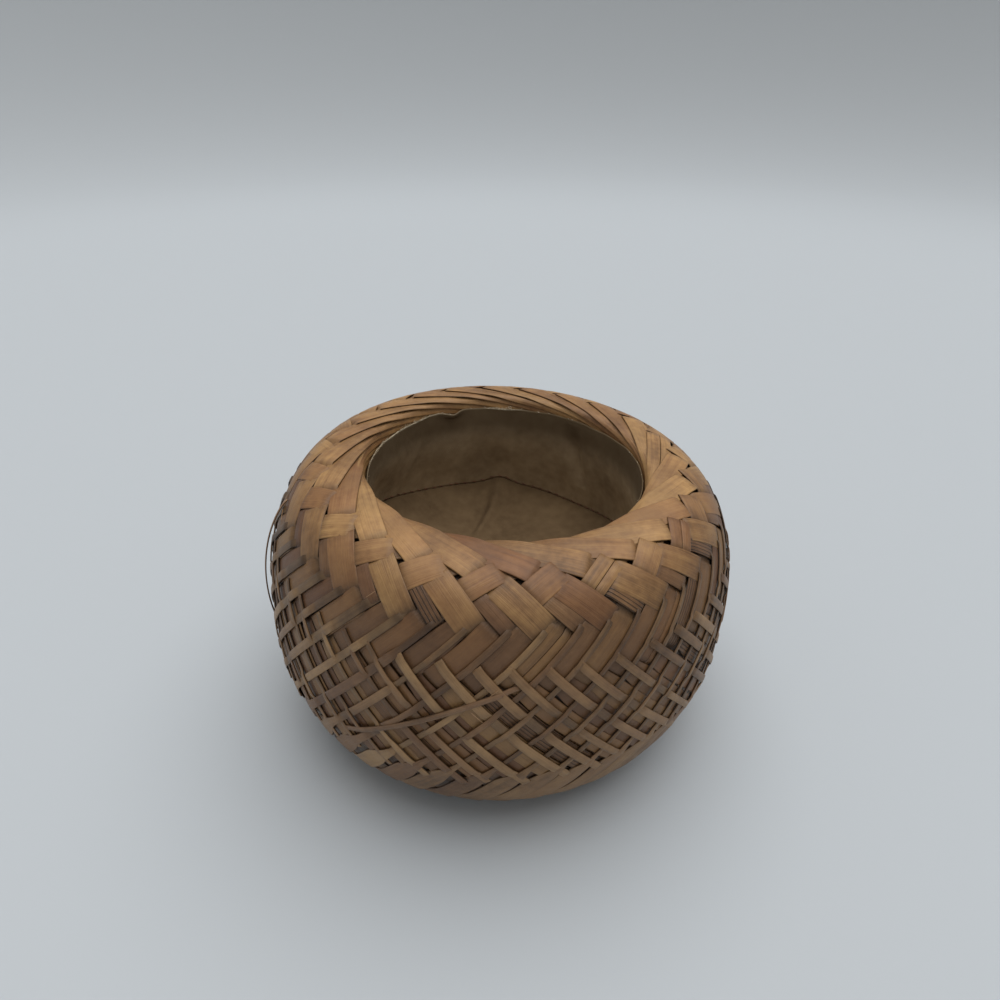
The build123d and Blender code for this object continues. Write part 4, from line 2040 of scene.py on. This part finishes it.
@dataclass
class LooseEnds:
    """Strips that have worked loose: one across the front and a thin loop at the left."""

    skin: Skin
    rng: np.random.Generator
    lying_lift: float = 0.2
    stray_azimuths: tuple[float, ...] = (-124.5, -116.2, -111.5, -103.0, -97.0, -94.0, -86.2)
    stray_arcs: tuple[float, ...] = (58.5, 66.9, 71.2, 78.8, 84.9, 87.2, 92.5)
    stray_width: float = 1.9
    stray_lift: float = 1.1
    stray_run: float = 0.12
    stray_end: float = 0.93
    stray_thickness: float = 0.6
    stray_grain: Grain = Grain(0.4, 0.1, number=300)
    loop_arcs: tuple[float, float] = (70.0, 112.0)
    loop_azimuths: tuple[float, float] = (-160.0, -167.0)
    loop_width: float = 1.5
    loop_lift: float = 2.6
    loop_thickness: float = 0.45
    loop_grain: Grain = Grain(0.7, 0.2, number=310)
    stations: int = 40
    loop_stations: int = 48
    splinters: int = 9
    splinter_arcs: tuple[float, float] = (62.0, 112.0)
    splinter_lengths: tuple[float, float] = (2.5, 5.0)
    splinter_slope: float = 0.9
    splinter_lift: float = 0.9
    splinter_rise: float = 0.7
    splinter_radius: float = 0.12
    splinter_sides: int = 5
    splinter_steps: int = 6
    splinter_grain: Grain = Grain(0.8)
    finish: WoodFinish = WoodFinish("loose_wood", (90, 66, 44), (140, 106, 74), (172, 136, 100))

    def strip(self, arcs: np.ndarray, azimuth: np.ndarray, lift: np.ndarray, width: float,
              thickness: float, grain: Grain) -> Surface:
        """A level strip of even width along a line on the skin.

        Args:
            arcs: Distance up the skin at each station.
            azimuth: Azimuth at each station.
            lift: Height over the skin at each station.
            width: Width of the strip.
            thickness: Thickness of the strip.
            grain: Its own wood.

        Returns:
            The strip as one closed surface.
        """
        widths, level = np.full_like(arcs, width), np.zeros_like(arcs)
        return Ribbon(arcs, azimuth, widths, lift, level, thickness, grain=grain).surface(self.skin)

    def stray(self) -> Surface:
        """The loose strip, a cubic through its places, which comes out between others and goes back in.

        Returns:
            The strip as one closed surface.
        """
        step = np.linspace(0, 1, self.stations)
        knots = np.linspace(0, 1, len(self.stray_arcs))
        arcs = np.polyval(np.polyfit(knots, self.stray_arcs, 3), step)
        azimuth = np.polyval(np.polyfit(knots, self.stray_azimuths, 3), step)
        out = smooth(step / self.stray_run - 0.5) - smooth((step - self.stray_end) / self.stray_run)
        lift = mixed(self.lying_lift, self.stray_lift, out)
        return self.strip(arcs, azimuth, lift, self.stray_width, self.stray_thickness, self.stray_grain)

    def loop(self) -> Surface:
        """The thin loop, which stands off the side in one bow: its lift times sin(pi t)^0.7.

        Returns:
            The strip as one closed surface.
        """
        step = np.linspace(0, 1, self.loop_stations)
        arcs = mixed(*self.loop_arcs, step)
        azimuth = mixed(*self.loop_azimuths, step**1.3)
        lift = self.lying_lift + self.loop_lift * np.sin(np.pi * step) ** 0.7
        return self.strip(arcs, azimuth, lift, self.loop_width, self.loop_thickness, self.loop_grain)

    def slivers(self) -> Surface:
        """Fine splinters that stand a little off the strips, each leaning like one of the hands.

        Returns:
            All splinters as one surface.
        """
        rng, count = self.rng, self.splinters
        step = np.linspace(0, 1, self.splinter_steps)[None, :]
        hand = np.where(rng.random((count, 1)) < 0.5, 1, -1)
        start = rng.uniform(*self.splinter_arcs, (count, 1))
        arc = start + rng.uniform(*self.splinter_lengths, (count, 1)) * step
        turn = np.degrees(self.splinter_slope * (arc - start) / self.skin.radius(arc))
        azimuth = rng.uniform(0, 360, (count, 1)) + hand * turn
        lift = self.splinter_lift + self.splinter_rise * step * rng.random((count, 1))
        paths = self.skin.place(arc, azimuth, lift)
        threads = tubes(paths, self.splinter_radius, self.splinter_sides)
        threads.marks = self.splinter_grain.marks()
        return threads

    def build(self) -> None:
        """Makes the three pieces."""
        material = self.finish.material()
        pieces = {"stray_strip": self.stray(), "loose_loop": self.loop(), "splinters": self.slivers()}
        for name, surface in pieces.items():
            make_piece(name, [surface], material)
        log.info("loose ends: stray strip, loop and %d splinters", self.splinters)


@dataclass
class Studio:
    """The pale paper sweep, the soft lights and the camera."""

    paper: StageFinish = StageFinish("studio_paper")
    sun_from: tuple[float, float, float] = (0.15, 0.18, 1.0)
    sun_angle: float = 70.0
    sun_strength: float = 2.1
    sky: Rgb = (255, 251, 246)
    sky_strength: float = 0.45
    target: tuple[float, float, float] = (1.41, 0.0, 86.44)
    elevation: float = 32.54
    distance: float = 277.7
    focal_pixels: float = 721.0
    frame_pixels: float = 1000.0
    sensor_width: float = 36.0
    middle_radius: float = 100.0
    floor_radius: float = 1300.0
    curve_radius: float = 1200.0
    wall_height: float = 1500.0
    paper_sides: int = 96

    def build(self) -> None:
        """Makes the stage, the light and the camera."""
        self.sweep()
        self.lights()
        self.camera()
        log.info("studio: paper, lights and camera")

    def sweep(self) -> None:
        """Makes the paper: a round floor that curves up into a low wall on every side."""
        quarter = np.linspace(0, np.pi / 2, 32)
        curve = self.floor_radius + self.curve_radius * np.sin(quarter)
        radius = np.concatenate([[self.middle_radius], curve, curve[-1:]])
        height = np.concatenate([[0], self.curve_radius * (1 - np.cos(quarter)), [self.wall_height]])
        turn = full_turn(self.paper_sides)[None, :]
        points = around(radius[:, None], turn, height[:, None]).reshape(-1, 3)
        faces = grid_quads(len(radius), self.paper_sides, True)[:, ::-1].tolist()
        faces.append(list(range(self.paper_sides)))
        mesh = bpy.data.meshes.new("studio_paper")
        mesh.from_pydata((points * MILLIMETRE).tolist(), [], faces)
        mesh.shade_smooth()
        mesh.materials.append(self.paper.material())
        add_object("studio_paper", mesh)

    def lights(self) -> None:
        """Sets a wide soft light from above and a plain pale world."""
        world = bpy.data.worlds.new("studio_world")
        world.use_nodes = True
        back = world.node_tree.nodes["Background"]
        back.inputs["Color"].default_value = linear(self.sky)
        back.inputs["Strength"].default_value = self.sky_strength
        bpy.context.scene.world = world
        light = bpy.data.lights.new("top_light", "SUN")
        light.energy = self.sun_strength
        light.angle = np.radians(self.sun_angle)
        lamp = add_object("top_light", light)
        lamp.location = self.sun_from
        lamp.rotation_euler = (-Vector(self.sun_from)).to_track_quat("-Z", "Y").to_euler()

    def camera(self) -> None:
        """Sets the camera at the view that the basket is seen from."""
        data = bpy.data.cameras.new("view")
        data.sensor_width = self.sensor_width
        data.lens = self.focal_pixels / self.frame_pixels * self.sensor_width
        data.clip_start = 0.01
        camera = add_object("view", data)
        aim = Vector(self.target) * MILLIMETRE
        angle = np.radians(self.elevation)
        back = Vector((0, -np.cos(angle), np.sin(angle)))
        camera.location = aim + back * self.distance * MILLIMETRE
        camera.rotation_euler = (-back).to_track_quat("-Z", "Y").to_euler()
        bpy.context.scene.camera = camera
        bpy.context.scene.view_settings.view_transform = "Standard"


def main() -> None:
    """Builds the basket piece by piece, then the studio."""
    logging.basicConfig(level=logging.INFO)
    rng = np.random.default_rng(SEED)
    skin = Skin()
    wall = Wall(skin, rng)
    wall.build()
    Lattice(skin, wall, rng).build()
    InnerBasket(skin).build()
    RimHoop(skin).build()
    Foot(rng).build()
    Lining(skin, rng).build()
    LooseEnds(skin, rng).build()
    Studio().build()


if __name__ == "__main__":
    main()
